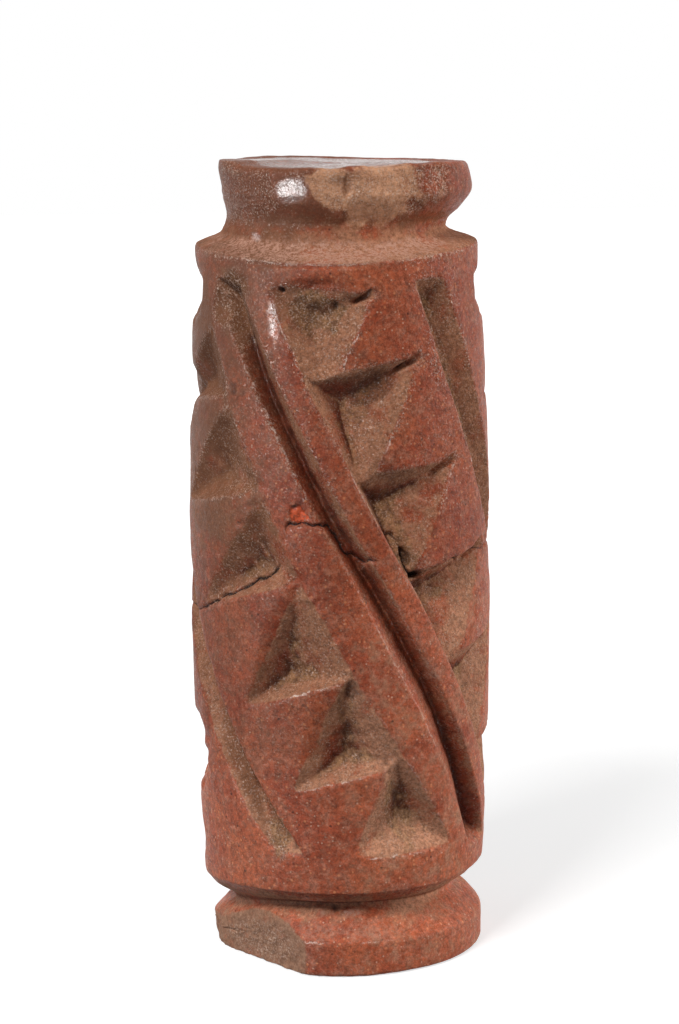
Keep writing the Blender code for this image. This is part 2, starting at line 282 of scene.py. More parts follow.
@dataclass(frozen=True)
class SlantLine:
    """A slanting line on the barrel.

    Attributes:
        high: Its angle three quarters of the way up from the middle.
        middle: Its angle in the middle.
        low: Its angle three quarters of the way down.
    """

    high: float
    middle: float
    low: float

    def angle(self, height: Grid) -> Grid:
        """Return the line's angle at a height.

        Args:
            height: Height above the underside.

        Returns:
            The angle there.
        """
        along = (LINE_MIDDLE - height) / LINE_REACH / LINE_SHARE
        slope = (self.low - self.high) / 2.0
        bend = (self.low + self.high) / 2.0 - self.middle
        return self.middle + slope * along + bend * along * along


@dataclass(frozen=True)
class Pocket:
    """A three-sided pocket beside a ridge.

    Attributes:
        far: Angle and height of the corner away from the ridge.
        upper: Height of the upper corner at the ridge.
        lower: Height of the lower corner at the ridge.
        deepest: Angle and height of the deepest point.
        depth: How deep that is.
        rounding: How far the creases between its walls are rounded, as a share of the depth.
    """

    far: tuple[float, float]
    upper: float
    lower: float
    deepest: tuple[float, float]
    depth: float = 2.2
    rounding: float = 0.09


class Side(Enum):
    """On which side of its ridge a row of pockets lies."""

    LEFT = -1.0
    RIGHT = 1.0


@dataclass(frozen=True)
class Carving:
    """The carved pattern of one panel, and how deep it goes.

    Attributes:
        arc: Millimetres along the barrel for each degree.
        band_left: Right edge of the plain band at the panel's left.
        ridge_a_left: Left edge of the broad ridge.
        ridge_a_right: Its right edge, where the groove begins.
        ridge_b_left: Left edge of the narrow ridge, where the groove ends.
        ridge_b_right: Its right edge.
        band_right: Left edge of the grooves that part this panel from the next.
        left_pockets: The pockets beside the broad ridge, from the top down.
        right_pockets: The pockets beside the narrow ridge, from the top down.
        pocket_swell: How far a pocket's walls bulge inwards, as a share of its depth.
        pocket_join: How far two pockets run into each other.
        groove_join: How far a groove and a pocket run into each other.
        groove_depth: Depth of the groove between the ridges.
        separator_depth: Depth of the grooves that part the panels.
        floor_rounding: How far a groove's floor is rounded into its walls.
        groove_left_slopes: Height, and how steep the groove's left wall is there.
        groove_right_slopes: Height, and how steep its right wall is there.
        slit_depth: Depth of the slit that a tool left under each tooth on the right.
        slit_half_width: Half that slit's width.
        slit_run: Where along a pocket's edge the slit begins and ends.
        slit_rises: How fast it deepens from those two ends.
        end_slope: Depth that a groove gains for each millimetre away from its end.
        top_end: Height of the grooves' upper end.
        groove_end: Height of the lower end of the groove between the ridges.
        separator_end: Height of the lower end of the grooves that part the panels.
        head_angle: Angle of the groove's widened upper end.
        head_lean: Degrees that it leans for each millimetre.
        head_heights: Height at which its angle is given, and height of its middle.
        head_size: Half its width in degrees, and half its height.
        head_depth: Its depth.
    """

    arc: float = 0.2592
    band_left: SlantLine = SlantLine(-119.9, -79.7, -31.5)
    ridge_a_left: SlantLine = SlantLine(-51.4, -13.6, 33.1)
    ridge_a_right: SlantLine = SlantLine(-38.6, 4.3, 46.0)
    ridge_b_left: SlantLine = SlantLine(-26.2, 16.2, 62.5)
    ridge_b_right: SlantLine = SlantLine(-15.6, 26.0, 73.1)
    band_right: SlantLine = SlantLine(42.6, 82.0, 133.9)
    left_pockets: tuple[Pocket, ...] = (
        Pocket((-106.0, 54.3), 63.1, 56.2, (-71.0, 57.2), 2.3, 0.25),
        Pocket((-86.0, 44.7), 56.2, 47.4, (-54.0, 48.6), 2.2, 0.28),
        Pocket((-68.0, 34.9), 47.3, 38.9, (-33.0, 40.3), 2.3, 0.28),
        Pocket((-40.8, 26.2), 39.7, 29.6, (-22.0, 29.6), 2.5, 0.2),
        Pocket((-21.0, 18.3), 31.0, 21.1, (1.5, 21.9), 2.5, 0.2),
        Pocket((2.5, 11.8), 23.2, 11.95, (26.0, 15.9), 2.4, 0.26),
    )
    right_pockets: tuple[Pocket, ...] = (
        Pocket((14.7, 66.2), 67.2, 54.5, (-8.0, 63.7), 2.0, 0.3),
        Pocket((33.5, 60.1), 58.4, 46.5, (0.0, 55.9), 2.4),
        Pocket((50.0, 50.2), 48.9, 38.4, (14.5, 45.9), 2.4),
        Pocket((69.0, 41.3), 39.4, 28.9, (33.5, 37.4), 2.4),
        Pocket((86.0, 32.4), 31.0, 20.9, (54.0, 28.2)),
        Pocket((106.0, 22.5), 21.5, 11.9, (80.0, 19.0)),
    )
    pocket_swell: float = 0.35
    pocket_join: float = 0.1
    groove_join: float = 0.12
    groove_depth: float = 2.2
    separator_depth: float = 1.75
    floor_rounding: float = 0.6
    groove_left_slopes: Curve = (
        (26.0, 0.72), (33.0, 0.9), (40.0, 1.35), (47.0, 2.1), (55.0, 3.4), (62.0, 2.2),
    )
    groove_right_slopes: Curve = (
        (26.0, 3.0), (33.0, 2.4), (40.0, 1.25), (47.0, 1.0), (55.0, 0.9),
    )
    slit_depth: float = 1.55
    slit_half_width: float = 0.5
    slit_run: tuple[float, float] = (0.42, 0.99)
    slit_rises: tuple[float, float] = (3.0, 4.0)
    end_slope: float = 1.3
    top_end: float = 67.2
    groove_end: float = 10.9
    separator_end: float = 12.2
    head_angle: float = -46.0
    head_lean: float = 1.5
    head_heights: tuple[float, float] = (66.0, 65.4)
    head_size: tuple[float, float] = (9.0, 2.6)
    head_depth: float = 0.75

    def edge_distance(self, angle: Grid, height: Grid) -> Grid:
        """Return how deep the carving goes before its edges are worn.

        Args:
            angle: Angles in the panel, from -180 to 180.
            height: Heights above the underside.

        Returns:
            The depth below the barrel's surface, below 0 outside the carving.
        """
        depth = np.full(angle.shape, UNCARVED)
        for pocket in self.left_pockets:
            hollow = self._pocket(angle, height, pocket, self.ridge_a_left, Side.LEFT)
            depth = soft_max(depth, hollow, self.pocket_join)
        for pocket in self.right_pockets:
            hollow = self._pocket(angle, height, pocket, self.ridge_b_right, Side.RIGHT)
            depth = soft_max(depth, hollow, self.pocket_join)
        depth = soft_max(depth, self._groove(angle, height), self.groove_join)
        depth = soft_max(depth, self._groove_head(angle, height), self.groove_join)
        return soft_max(depth, self._separator(angle, height), self.groove_join)

    def _pocket(self, angle: Grid, height: Grid, pocket: Pocket, ridge: SlantLine, side: Side) -> Grid:
        """Return one pocket's depth: three walls that fall to its deepest point.

        Args:
            angle: Angles in the panel.
            height: Heights above the underside.
            pocket: The pocket.
            ridge: The ridge's edge that the pocket lies against.
            side: The pocket's side of that ridge.

        Returns:
            The depth, below 0 outside the pocket.
        """
        far = (pocket.far[0] * self.arc, pocket.far[1])
        upper = (float(ridge.angle(pocket.upper)) * self.arc, pocket.upper)
        lower = (float(ridge.angle(pocket.lower)) * self.arc, pocket.lower)
        deepest = (pocket.deepest[0] * self.arc, pocket.deepest[1])
        across = angle * self.arc
        walls = []
        for start, end in ((far, upper), (far, lower)):
            run = (end[0] - start[0], end[1] - start[1])
            at_deepest = run[0] * (deepest[1] - start[1]) - run[1] * (deepest[0] - start[0])
            here = run[0] * (height - start[1]) - run[1] * (across - start[0])
            walls.append(here / at_deepest)
        reach = side.value * (pocket.deepest[0] - float(ridge.angle(pocket.deepest[1])))
        walls.append(side.value * (angle - ridge.angle(height)) / reach)
        share = soft_min(soft_min(walls[0], walls[1], pocket.rounding), walls[2], pocket.rounding)
        inside = np.clip(share, 0.0, 1.0)
        depth = pocket.depth * (share + self.pocket_swell * inside * (1.0 - inside))
        if side is Side.LEFT:
            return depth
        run = (far[0] - deepest[0], far[1] - deepest[1])
        length = math.hypot(*run)
        along = ((across - deepest[0]) * run[0] + (height - deepest[1]) * run[1]) / length**2
        beside = ((across - deepest[0]) * run[1] - (height - deepest[1]) * run[0]) / length
        start, end = self.slit_run
        start_rise, end_rise = self.slit_rises
        reach = self.slit_depth * np.minimum(end_rise * (end - along), start_rise * (along - start))
        slit = np.minimum(reach, self.slit_depth * (1.0 - np.abs(beside) / self.slit_half_width))
        return soft_max(depth, slit, 0.15)

    def _ends(self, height: Grid, bottom: float) -> Grid:
        """Return how deep a groove may go near its upper end and near its lower end, the bottom."""
        return self.end_slope * np.minimum(self.top_end - height, height - bottom)

    def _groove(self, angle: Grid, height: Grid) -> Grid:
        """Return the depth of the groove between the two ridges.

        Args:
            angle: Angles in the panel.
            height: Heights above the underside.

        Returns:
            The depth, below 0 outside the groove.
        """
        from_left = (angle - self.ridge_a_right.angle(height)) * self.arc
        from_right = (self.ridge_b_left.angle(height) - angle) * self.arc
        left_slope = np.interp(height, *zip(*self.groove_left_slopes))
        right_slope = np.interp(height, *zip(*self.groove_right_slopes))
        walls = soft_min(left_slope * from_left, right_slope * from_right, 0.25)
        run = self._ends(height, self.groove_end)
        floor = np.full(angle.shape, self.groove_depth)
        return soft_min(soft_min(walls, run, 0.3), floor, self.floor_rounding)

    def _groove_head(self, angle: Grid, height: Grid) -> Grid:
        """Return the depth of the groove's widened upper end.

        Args:
            angle: Angles in the panel.
            height: Heights above the underside.

        Returns:
            The depth, below 0 outside the head.
        """
        level, middle = self.head_heights
        half_width, half_height = self.head_size
        across = angle - self.head_angle + self.head_lean * (level - height)
        oval = np.hypot(across / half_width, (height - middle) / half_height)
        return self.head_depth * (1.0 - oval**2)

    def _separator(self, angle: Grid, height: Grid) -> Grid:
        """Return the depth of the two grooves that part one panel from the next.

        Args:
            angle: Angles in the panel.
            height: Heights above the underside.

        Returns:
            The depth, below 0 outside the grooves.
        """
        left = self.band_right.angle(height)
        right = self.band_left.angle(height) + 180.0
        from_left = (angle - left) * self.arc
        from_right = (right - angle) * self.arc
        high = smooth_step(36.0, 44.0, height)
        walls = soft_min((0.65 + 1.15 * high) * from_left, (2.2 - 1.35 * high) * from_right, 0.35)
        run = self._ends(height, self.separator_end)
        floor = np.full(angle.shape, self.separator_depth)
        return soft_min(soft_min(walls, run, 0.4), floor, self.floor_rounding)


@dataclass(frozen=True)
class Crack:
    """The old break across the stamp, put together again.

    Attributes:
        course: Angle and height of points on the crack, from left to right round the stamp.
        opening: Angle, and how open the crack is there, from 0 to 1.
        half_width: Half its width where it is fully open.
        depth: Its depth there.
        lip: How far its edges have crumbled down.
        lip_width: How far out they have crumbled.
        slope_angle: Degrees to either side over which its slope is read.
        slope_run: Millimetres that these two spans measure together.
    """

    course: Curve = (
        (-180, 36.2), (-165, 35.6), (-150, 35.2), (-130, 34.4), (-110, 34.9), (-90, 34.3), (-75, 34.6),
        (-67, 34.9), (-60, 35.7), (-55, 36.2), (-50, 36.9), (-44, 37.4), (-40, 38.0), (-35.6, 38.6),
        (-30, 39.1), (-26, 39.8), (-24.4, 40.4), (-22.5, 40.9), (-21.6, 42.3), (-20.6, 43.9), (-18.8, 44.5),
        (-16, 44.5), (-12.5, 44.7), (-10, 44.4), (-6.9, 44.4), (-4.4, 44.1), (-2.5, 43.5), (-0.6, 42.6),
        (1.3, 41.8), (3.1, 41.4), (6.3, 41.4), (9.4, 40.8), (11.3, 41.0), (13.8, 41.0), (16.5, 41.6),
        (18.4, 43.4), (20.6, 43.3), (22.5, 42.9), (23.6, 42.2), (24.4, 41.4), (26.2, 40.2), (28.8, 39.1),
        (31, 39.0), (35, 39.4), (41, 39.7), (48, 40.3), (53, 40.0), (58, 40.6), (70, 40.5), (82, 41.1),
        (95, 40.6), (110, 39.6), (124, 39.7), (138, 38.4), (150, 38.2), (163, 36.9), (180, 36.2),
    )
    opening: Curve = (
        (-180, 0.5), (-150, 0.75), (-110, 0.5), (-72, 0.35), (-66, 0.5), (-60, 0.9), (-50, 1.0),
        (-38, 0.95), (-30, 0.8), (-26, 0.6), (-24.3, 0.1), (-23.0, 0.0), (-20.4, 0.0), (-19.5, 0.6),
        (-18, 0.9), (-12, 0.8), (-6, 0.75), (0, 0.8), (4, 0.6), (9, 0.4), (13, 0.45), (14.6, 0.0),
        (17.6, 0.0), (18.4, 0.5), (22, 0.6), (23.4, 0.2), (24.2, 0.2), (25, 0.9), (27, 1.0), (30, 0.5),
        (36, 0.35), (44, 0.45), (54, 0.75), (62, 0.4), (80, 0.5), (120, 0.8), (150, 0.4), (180, 0.5),
    )
    half_width: float = 0.13
    depth: float = 0.5
    lip: float = 0.16
    lip_width: float = 0.45
    slope_angle: float = 0.6
    slope_run: float = 0.31

    def signed_distance(self, angle: Grid, height: Grid, ragged: Grid) -> Grid:
        """Return how far above the crack each place lies.

        Args:
            angle: Angles round the stamp.
            height: Heights above the underside.
            ragged: How far the crack strays from its course at each place.

        Returns:
            Millimetres above the crack, below 0 under it.
        """
        angles, heights = zip(*self.course)
        here = np.interp(angle, angles, heights)
        after = np.interp(angle + self.slope_angle, angles, heights)
        before = np.interp(angle - self.slope_angle, angles, heights)
        rise = (after - before) / self.slope_run
        return (height - here + ragged) / np.sqrt(1.0 + rise * rise)

    def openness(self, angle: Grid) -> Grid:
        """Return how open the crack is at each angle, from 0 to 1."""
        angles, amounts = zip(*self.opening)
        return np.interp(angle, angles, amounts)


@dataclass(frozen=True)
class Patch:
    """An oval place on the stamp's side.

    Attributes:
        angle: Its middle's angle.
        height: Its middle's height.
        half_angle: Half its width, in degrees.
        half_height: Half its height.
        lean: Millimetres that it climbs for each degree to the right.
    """

    angle: float
    height: float
    half_angle: float
    half_height: float
    lean: float = 0.0

    def share(self, angle: Grid, height: Grid) -> Grid:
        """Return 1 in the patch's middle, 0 on its edge and less than 0 outside.

        Args:
            angle: Angles round the stamp.
            height: Heights above the underside.

        Returns:
            The share at each place.
        """
        across = turn_between(angle, self.angle)
        up = height - self.height - self.lean * across
        return 1.0 - np.sqrt((across / self.half_angle) ** 2 + (up / self.half_height) ** 2)


Spots = tuple[tuple[Patch, float], ...]


class Mark(Enum):
    """What each point of the stamp carries for its finish."""

    DUST = "dust"
    EARTH = "earth"
    # Paler convex edges: rubbed wear, and partly a painted highlight.
    WEAR = "wear"
    # How much painted shade each crease gets.
    HOLLOW = "hollow"
    # Painted shade on carving walls that face down or to the right.
    SHADE = "shade"
    PATINA = "patina"
    GRIT = "grit"
    EDGE = "edge"
    # How strongly the painted highlight line lies on worn edges.
    SHINE = "shine"
    SOOT = "soot"
    GLOSS = "gloss"
    BROKEN = "broken"
    EMBER = "ember"
    CRACK = "crack"
    OPEN = "open"
    PIT = "pit"
    PALE = "pale"
    # Painted light that brightens the lower clay.
    FADED = "painted_low_light"


@dataclass
class Relief:
    """What carving and wear left at each point of the stamp's side.

    Attributes:
        angles: Angles of the points.
        heights: Heights of the points.
        base: Their places on a plain cylinder, where unevenness is looked up.
        sink: How far they lie below the uncarved outline.
        raw: The carving's depth before its edges were worn, below 0 outside it.
        edge: Distance from the nearest edge of the carving, below 0 outside it.
        crack: Distance above the crack.
        open: How open the crack is.
        flaked: How far the knob's face has flaked off.
        ember: How far the bright scar beside the crack has broken out.
        broken: How far the foot has broken off.
    """

    angles: Grid
    heights: Grid
    base: Grid
    sink: Grid
    raw: Grid
    edge: Grid
    crack: Grid
    open: Grid
    flaked: Grid
    ember: Grid
    broken: Grid | None = None


@dataclass
class SkinMarks:
    """Works out what each point of the stamp's side carries for its finish.

    Attributes:
        skin: Places of all points of the skin.
        window: The rows of the skin that lie on the stamp's side.
        relief: What carving and wear left there.
        carving: The carved pattern.
        lower_neck: Height of the neck above the foot.
        upper_neck: Height of the neck under the knob.
        neck_dust: Heights at which dust lies thickest in the two necks.
        ledge: Heights between which the barrel's upper ledge is dusty.
        collar: Height of the darker band under the knob.
        shoulder: Height of the barrel's gritty upper rim.
        knob_rim: Height of the knob's gritty rim.
        groove_head: The groove's widened upper end.
        first_pocket: The uppermost pocket on the right, which gets less painted crease shade than the
            others.
        under_tooth: The corner under the first tooth, darkened as painted shade.
        left_channel: The channel low down on the left.
        foot_side: The foot's broken side.
        high_right: The region high up on the right, where the carving gets less painted shade.
        painted_light_low_right: The region low down on the right, where the clay is brightened as painted
            light.
        burnished: Places that shine, and how strongly.
        pits: Small dark holes, and how dark they are.
        pale_spots: Small pale spots, and how pale they are.
        bright_edges: Worn edges that get the painted highlight line, and how strongly.
        gritty: Places where sand stands out, and how much.
        earthy: Places filled with earth, and how thickly.
        patchy: Slow unevenness that breaks up dust, earth and brown.
        head: How far each point lies in the groove's widened end.
        bare_and_shaded: The groove's left wall, which holds no dust and is darkened as painted shade.
    """

    skin: Grid
    window: slice
    relief: Relief
    carving: Carving
    lower_neck: float = 6.2
    upper_neck: float = 71.4
    neck_dust: tuple[float, float] = (6.6, 70.8)
    ledge: tuple[float, float, float, float] = (69.2, 69.4, 70.9, 71.6)
    collar: float = 72.5
    shoulder: float = 69.15
    knob_rim: float = 77.2
    groove_head: Patch = Patch(-46.0, 65.2, 11.0, 4.0)
    first_pocket: Patch = Patch(-3.0, 61.5, 24.0, 7.0)
    under_tooth: Patch = Patch(14.0, 57.2, 14.0, 2.2, 0.1)
    left_channel: Patch = Patch(-46.0, 20.5, 26.0, 4.5, -0.62)
    foot_side: Patch = Patch(-78.0, 4.0, 27.0, 2.2)
    high_right: tuple[Ramp, Ramp, Ramp] = ((30.0, 38.0), (100.0, 80.0), (34.0, 44.0))
    painted_light_low_right: tuple[Ramp, Ramp, Ramp] = ((-6.0, 12.0), (110.0, 80.0), (42.0, 34.0))
    burnished: Spots = (
        (Patch(-25.0, 75.6, 9.5, 1.5, 0.02), 1.0),
        (Patch(-25.0, 63.4, 2.8, 2.2, -0.4), 0.6),
        (Patch(-14.0, 7.4, 6.0, 0.5), 0.7),
        (Patch(-43.0, 71.0, 3.5, 0.5), 1.0),
    )
    pits: Spots = (
        (Patch(26.5, 41.0, 2.2, 0.8, -0.3), 0.7),
        (Patch(30.4, 39.2, 2.9, 0.45, 0.03), 1.0),
        (Patch(-0.3, 64.9, 1.0, 0.35), 0.6),
        (Patch(-4.6, 5.8, 1.6, 0.3), 0.9),
        (Patch(-22.0, 66.4, 1.3, 0.3), 0.9),
        (Patch(0.5, 75.9, 2.0, 0.7, 0.3), 0.35),
        (Patch(-2.5, 76.7, 4.0, 0.5), 0.35),
        (Patch(-39.0, 32.4, 0.9, 0.25), 0.7),
        (Patch(-38.4, 56.4, 1.1, 0.35), 0.5),
        (Patch(-43.2, 57.0, 2.6, 0.55, -0.15), 0.75),
        (Patch(-16.3, 46.3, 3.4, 0.22, 0.2), 0.9),
        (Patch(-33.0, 9.2, 1.3, 0.25), 0.8),
        (Patch(-30.0, 17.0, 1.0, 0.25), 0.6),
        (Patch(12.8, 45.4, 0.8, 0.3), 0.6),
        (Patch(-19.6, 12.9, 1.2, 0.5), 0.7),
        (Patch(3.6, 28.4, 3.0, 1.1), 0.45),
        (Patch(22.6, 17.4, 1.8, 1.1), 0.5),
        (Patch(17.0, 21.5, 1.0, 0.6), 0.6),
    )
    pale_spots: Spots = (
        (Patch(37.8, 29.3, 2.4, 0.55), 0.8),
        (Patch(34.6, 30.2, 3.0, 0.25), 0.6),
        (Patch(19.6, 33.6, 0.9, 0.24), 0.9),
        (Patch(15.6, 40.7, 2.8, 0.4, 0.12), 0.6),
        (Patch(-2.0, 52.3, 1.6, 0.4), 0.6),
        (Patch(-27.0, 36.7, 3.0, 0.7), 0.5),
        (Patch(30.5, 33.0, 3.0, 0.9, -0.3), 0.4),
        (Patch(-6.0, 70.1, 85.0, 1.0), 1.0),
        (Patch(-12.0, 4.3, 9.0, 0.8), 0.45),
        (Patch(12.0, 4.2, 14.0, 0.7), 0.5),
        (Patch(-10.0, 5.6, 3.0, 0.45), 0.7),
        (Patch(4.0, 5.5, 5.5, 0.22), 0.9),
    )
    bright_edges: Spots = (
        (Patch(6.5, 61.8, 5.5, 2.8, 0.45), 1.4),
        (Patch(21.5, 52.6, 5.0, 3.4, 0.6), 0.7),
        (Patch(-12.0, 28.4, 10.0, 1.0, 0.07), 1.3),
        (Patch(-4.0, 19.6, 17.0, 0.9, 0.06), 0.75),
        (Patch(20.0, 11.7, 18.0, 0.7), 0.85),
        (Patch(-30.0, 11.6, 5.0, 1.0, -0.12), 0.9),
        (Patch(-20.0, 62.5, 8.0, 4.2, -0.55), 0.6),
        (Patch(-25.0, 52.0, 14.0, 8.0, -0.6), 0.85),
        (Patch(45.0, 56.0, 16.0, 11.0, -0.7), 0.6),
        (Patch(8.0, 50.0, 14.0, 9.0, -0.6), 0.5),
        (Patch(26.0, 27.0, 20.0, 13.0, -0.55), 0.5),
        (Patch(-14.0, 69.2, 36.0, 0.6), 0.6),
        (Patch(38.0, 69.2, 20.0, 0.6), 0.5),
        (Patch(-13.0, 3.45, 6.0, 0.5), 0.9),
        (Patch(10.0, 3.45, 12.0, 0.5), 0.6),
    )
    gritty: Spots = (
        (Patch(-60.0, 75.0, 44.0, 4.0), 0.75),
        (Patch(-10.0, 64.8, 14.0, 2.6), 1.0),
        (Patch(-45.0, 65.5, 11.0, 3.0), 1.0),
        (Patch(-27.0, 14.0, 7.0, 3.0, -0.2), 1.0),
        (Patch(20.0, 17.0, 9.0, 3.6), 0.9),
        (Patch(-48.0, 2.4, 36.0, 3.0), 1.0),
        (Patch(45.0, 62.0, 12.0, 7.0), 0.9),
        (Patch(28.0, 40.0, 9.0, 2.4), 0.9),
    )
    earthy: Spots = (
        (Patch(-9.0, 64.2, 14.0, 2.6), 0.95),
        (Patch(-46.0, 65.4, 10.0, 3.4, -0.1), 0.95),
        (Patch(6.0, 54.6, 9.0, 1.6, 0.1), 0.7),
        (Patch(18.0, 46.2, 10.0, 1.8, 0.1), 0.85),
        (Patch(24.0, 42.6, 8.0, 3.0, -0.3), 0.8),
        (Patch(38.0, 37.6, 12.0, 2.4), 0.7),
        (Patch(24.0, 16.0, 9.0, 4.0, -0.3), 0.8),
        (Patch(3.0, 26.0, 7.0, 3.4, -0.4), 0.6),
        (Patch(-27.0, 14.4, 6.0, 3.2, -0.3), 0.8),
        (Patch(-62.0, 56.0, 14.0, 4.0), 0.5),
    )
    patchy: Grid = field(init=False)
    head: Grid = field(init=False)
    bare_and_shaded: Grid = field(init=False)

    def __post_init__(self) -> None:
        """Work out what several marks need."""
        self.patchy = Unevenness(111).layered(self.relief.base, 5.0, 3)
        self.head = self._zone(self.groove_head, -0.1, 0.3)
        self.bare_and_shaded = self._bare_shaded_walls()

    def values(self) -> dict[Mark, Grid]:
        """Work out every mark.

        Returns:
            Each mark's values on the stamp's side.
        """
        relief = self.relief
        floors = self._spots(self.earthy)
        right_band = self._region(*self.high_right)
        painted_light_low_right = self._region(*self.painted_light_low_right)
        channel = self._zone(self.left_channel, 0.0, 0.4) * smooth_step(0.1, 0.5, relief.raw)

        hollow = self._creases()
        earth = self._earth(hollow)
        patina = self._patina()
        shade = self._shade()
        hollow = self._deepened(hollow, shade) * (1.0 - 0.5 * right_band) * (1.0 - 0.5 * patina)
        shade = shade * (1.0 - 0.8 * self.head) * (1.0 - 0.5 * right_band) * (1.0 - 0.8 * patina)
        collar = bell(relief.heights, self.collar, 0.8)
        patina = np.maximum(patina, np.maximum(0.85 * channel, 0.75 * collar)) * (1.0 - 0.6 * floors)
        sunk = smooth_step(0.2, 0.6, relief.sink)
        dust = self._dust() * (1.0 - 0.7 * shade * sunk) * (1.0 - 0.7 * self.bare_and_shaded)
        # Painted light on the lower right, laid as pale dust.
        dust = np.maximum(dust, 0.34 * painted_light_low_right)
        earth = np.maximum(earth * (1.0 - 0.5 * shade), floors) * (1.0 - 0.8 * self.bare_and_shaded)
        # Painted light: the clay is brightened low down and on the lower right.
        painted_low_light = np.maximum(smooth_step(26.0, 13.0, relief.heights), 0.8 * painted_light_low_right)
        return {
            Mark.DUST: dust * np.clip(0.78 + 0.6 * self.patchy, 0.0, 1.0),
            Mark.FADED: painted_low_light * (1.0 - 0.9 * channel),
            Mark.EARTH: earth,
            Mark.WEAR: smooth_step(0.02, 0.075, self._bulge(self.skin, 2.0)[self.window]),
            Mark.HOLLOW: hollow,
            Mark.SHADE: shade,
            Mark.GRIT: self._grit(hollow),
            Mark.EDGE: relief.edge,
            Mark.SHINE: self._spots(self.bright_edges),
            Mark.SOOT: self._soot(),
            Mark.PATINA: patina * (0.75 + 0.5 * self.patchy),
            Mark.GLOSS: self._gloss(),
            Mark.BROKEN: self._torn(),
            Mark.EMBER: relief.ember,
            Mark.CRACK: relief.crack,
            Mark.OPEN: relief.open,
            Mark.PIT: self._spots(self.pits),
            Mark.PALE: self._spots(self.pale_spots),
        }

    def _zone(self, patch: Patch, low: float, high: float) -> Grid:
        """Return how far each point lies inside a patch, as a soft ramp of the patch's share."""
        return smooth_step(low, high, patch.share(self.relief.angles, self.relief.heights))

    def _region(self, left: Ramp, right: Ramp, level: Ramp) -> Grid:
        """Return 1 in a region and 0 outside, with soft edges on its left, its right and one level."""
        across = smooth_step(*left, self.relief.angles) * smooth_step(*right, self.relief.angles)
        return across * smooth_step(*level, self.relief.heights)

    def _creases(self) -> Grid:
        """Work out how deep each point lies in a crease, for the earth and the painted crease shade.

        Returns:
            The share, from 0 to 1.
        """
        heights = self.relief.heights
        near = -self._bulge(self.skin, 3.0)[self.window]
        broad = -self._bulge(self.skin, 7.0)[self.window]
        hollow = 0.4 * smooth_step(0.01, 0.07, near) + 0.6 * smooth_step(0.03, 0.25, broad)
        neck = 1.6 * bell(heights, self.lower_neck, 1.5) + bell(heights, self.upper_neck, 1.3)
        first = self._zone(self.first_pocket, 0.0, 0.5)
        hollow = hollow * (1.0 - 0.75 * self.head) * (1.0 - 0.5 * np.clip(neck, 0.0, 1.6))
        return hollow * (1.0 - 0.8 * first)

    def _earth(self, hollow: Grid) -> Grid:
        """Work out how much earth is left at each point.

        Args:
            hollow: How deep each point lies in a crease.

        Returns:
            The share, from 0 to 1.
        """
        deep = smooth_step(0.9, 2.0, self.relief.sink)
        amount = np.clip(0.6 * deep + 0.55 * hollow + 0.6 * self.patchy - 0.2, 0.0, 1.0)
        return amount * smooth_step(0.5, 1.1, self.relief.sink)

    def _dust(self) -> Grid:
        """Work out how much dust lies at each point.

        Returns:
            The share, from 0 to 1.
        """
        heights = self.relief.heights
        lower, upper = self.neck_dust
        start, full, thinner, end = self.ledge
        necks = 1.3 * bell(heights, lower, 1.4) + bell(heights, upper, 1.5)
        ledge = smooth_step(start, full, heights) * smooth_step(end, thinner, heights)
        necks = np.maximum(np.clip(necks * (0.8 + 0.5 * self.patchy), 0.0, 1.0), ledge)
        return np.maximum(smooth_step(-0.02, 0.16, self.relief.raw + 0.1 * self.patchy), necks)

    def _shade(self) -> Grid:
        """Work out the painted shade on carving walls that face down or to the right, and along the lower
        neck.

        Returns:
            The share, from 0 to 1.
        """
        relief = self.relief
        turn = np.radians(relief.angles)
        facing = self._facing(self.skin)[self.window]
        turn_right = facing[..., 0] * np.cos(turn) + facing[..., 1] * np.sin(turn)
        shade = smooth_step(0.08, 0.5, -facing[..., 2]) + 0.75 * smooth_step(0.25, 0.6, turn_right)
        # The groove's left wall gets painted shade even where it is shallow.
        wall = self.bare_and_shaded * smooth_step(0.2, 1.0, relief.sink)
        sunk = np.maximum(smooth_step(0.5, 2.0, relief.sink), wall)
        return np.clip(shade, 0.0, 1.0) * np.maximum(sunk, bell(relief.heights, self.lower_neck, 0.25))

    def _deepened(self, hollow: Grid, shade: Grid) -> Grid:
        """Keep most painted crease shade to walls with painted shade and to the groove, and add it under
        the first tooth.

        Args:
            hollow: How deep each point lies in a crease.
            shade: How much painted shade each point gets.

        Returns:
            How much painted shade each crease gets.
        """
        hollow = hollow * (0.25 + 0.75 * np.clip(1.6 * shade + self.bare_and_shaded, 0.0, 1.0))
        hollow = np.maximum(hollow, 0.6 * self.bare_and_shaded * smooth_step(1.0, 1.9, self.relief.sink))
        return np.maximum(hollow, self._zone(self.under_tooth, 0.0, 0.6))

    def _patina(self) -> Grid:
        """Work out how brown each point has become, high up on the left.

        Returns:
            The share, from 0 to 1.
        """
        angles, heights = self.relief.angles, self.relief.heights
        outside = (self.carving.ridge_a_left.angle(heights) - angles) * self.carving.arc
        patina = smooth_step(-0.5, 0.5, outside + 0.8 * self.patchy)
        patina = patina * smooth_step(38.0, 46.0, heights + 3.0 * self.patchy)
        patina = patina * smooth_step(69.0, 66.0, heights) * smooth_step(-125.0, -95.0, angles)
        return np.maximum(patina, self.head)

    def _torn(self) -> Grid:
        """Work out where the clay is broken and shows its tan inside.

        Returns:
            The share, from 0 to 1.
        """
        relief = self.relief
        reddened = smooth_step(24.0, 42.0, relief.angles + 14.0 * self.patchy)
        foot_side = 0.7 * self._zone(self.foot_side, 0.0, 0.5)
        foot = np.maximum(relief.broken, foot_side)
        return np.maximum(relief.flaked * (1.0 - 0.75 * reddened), foot)

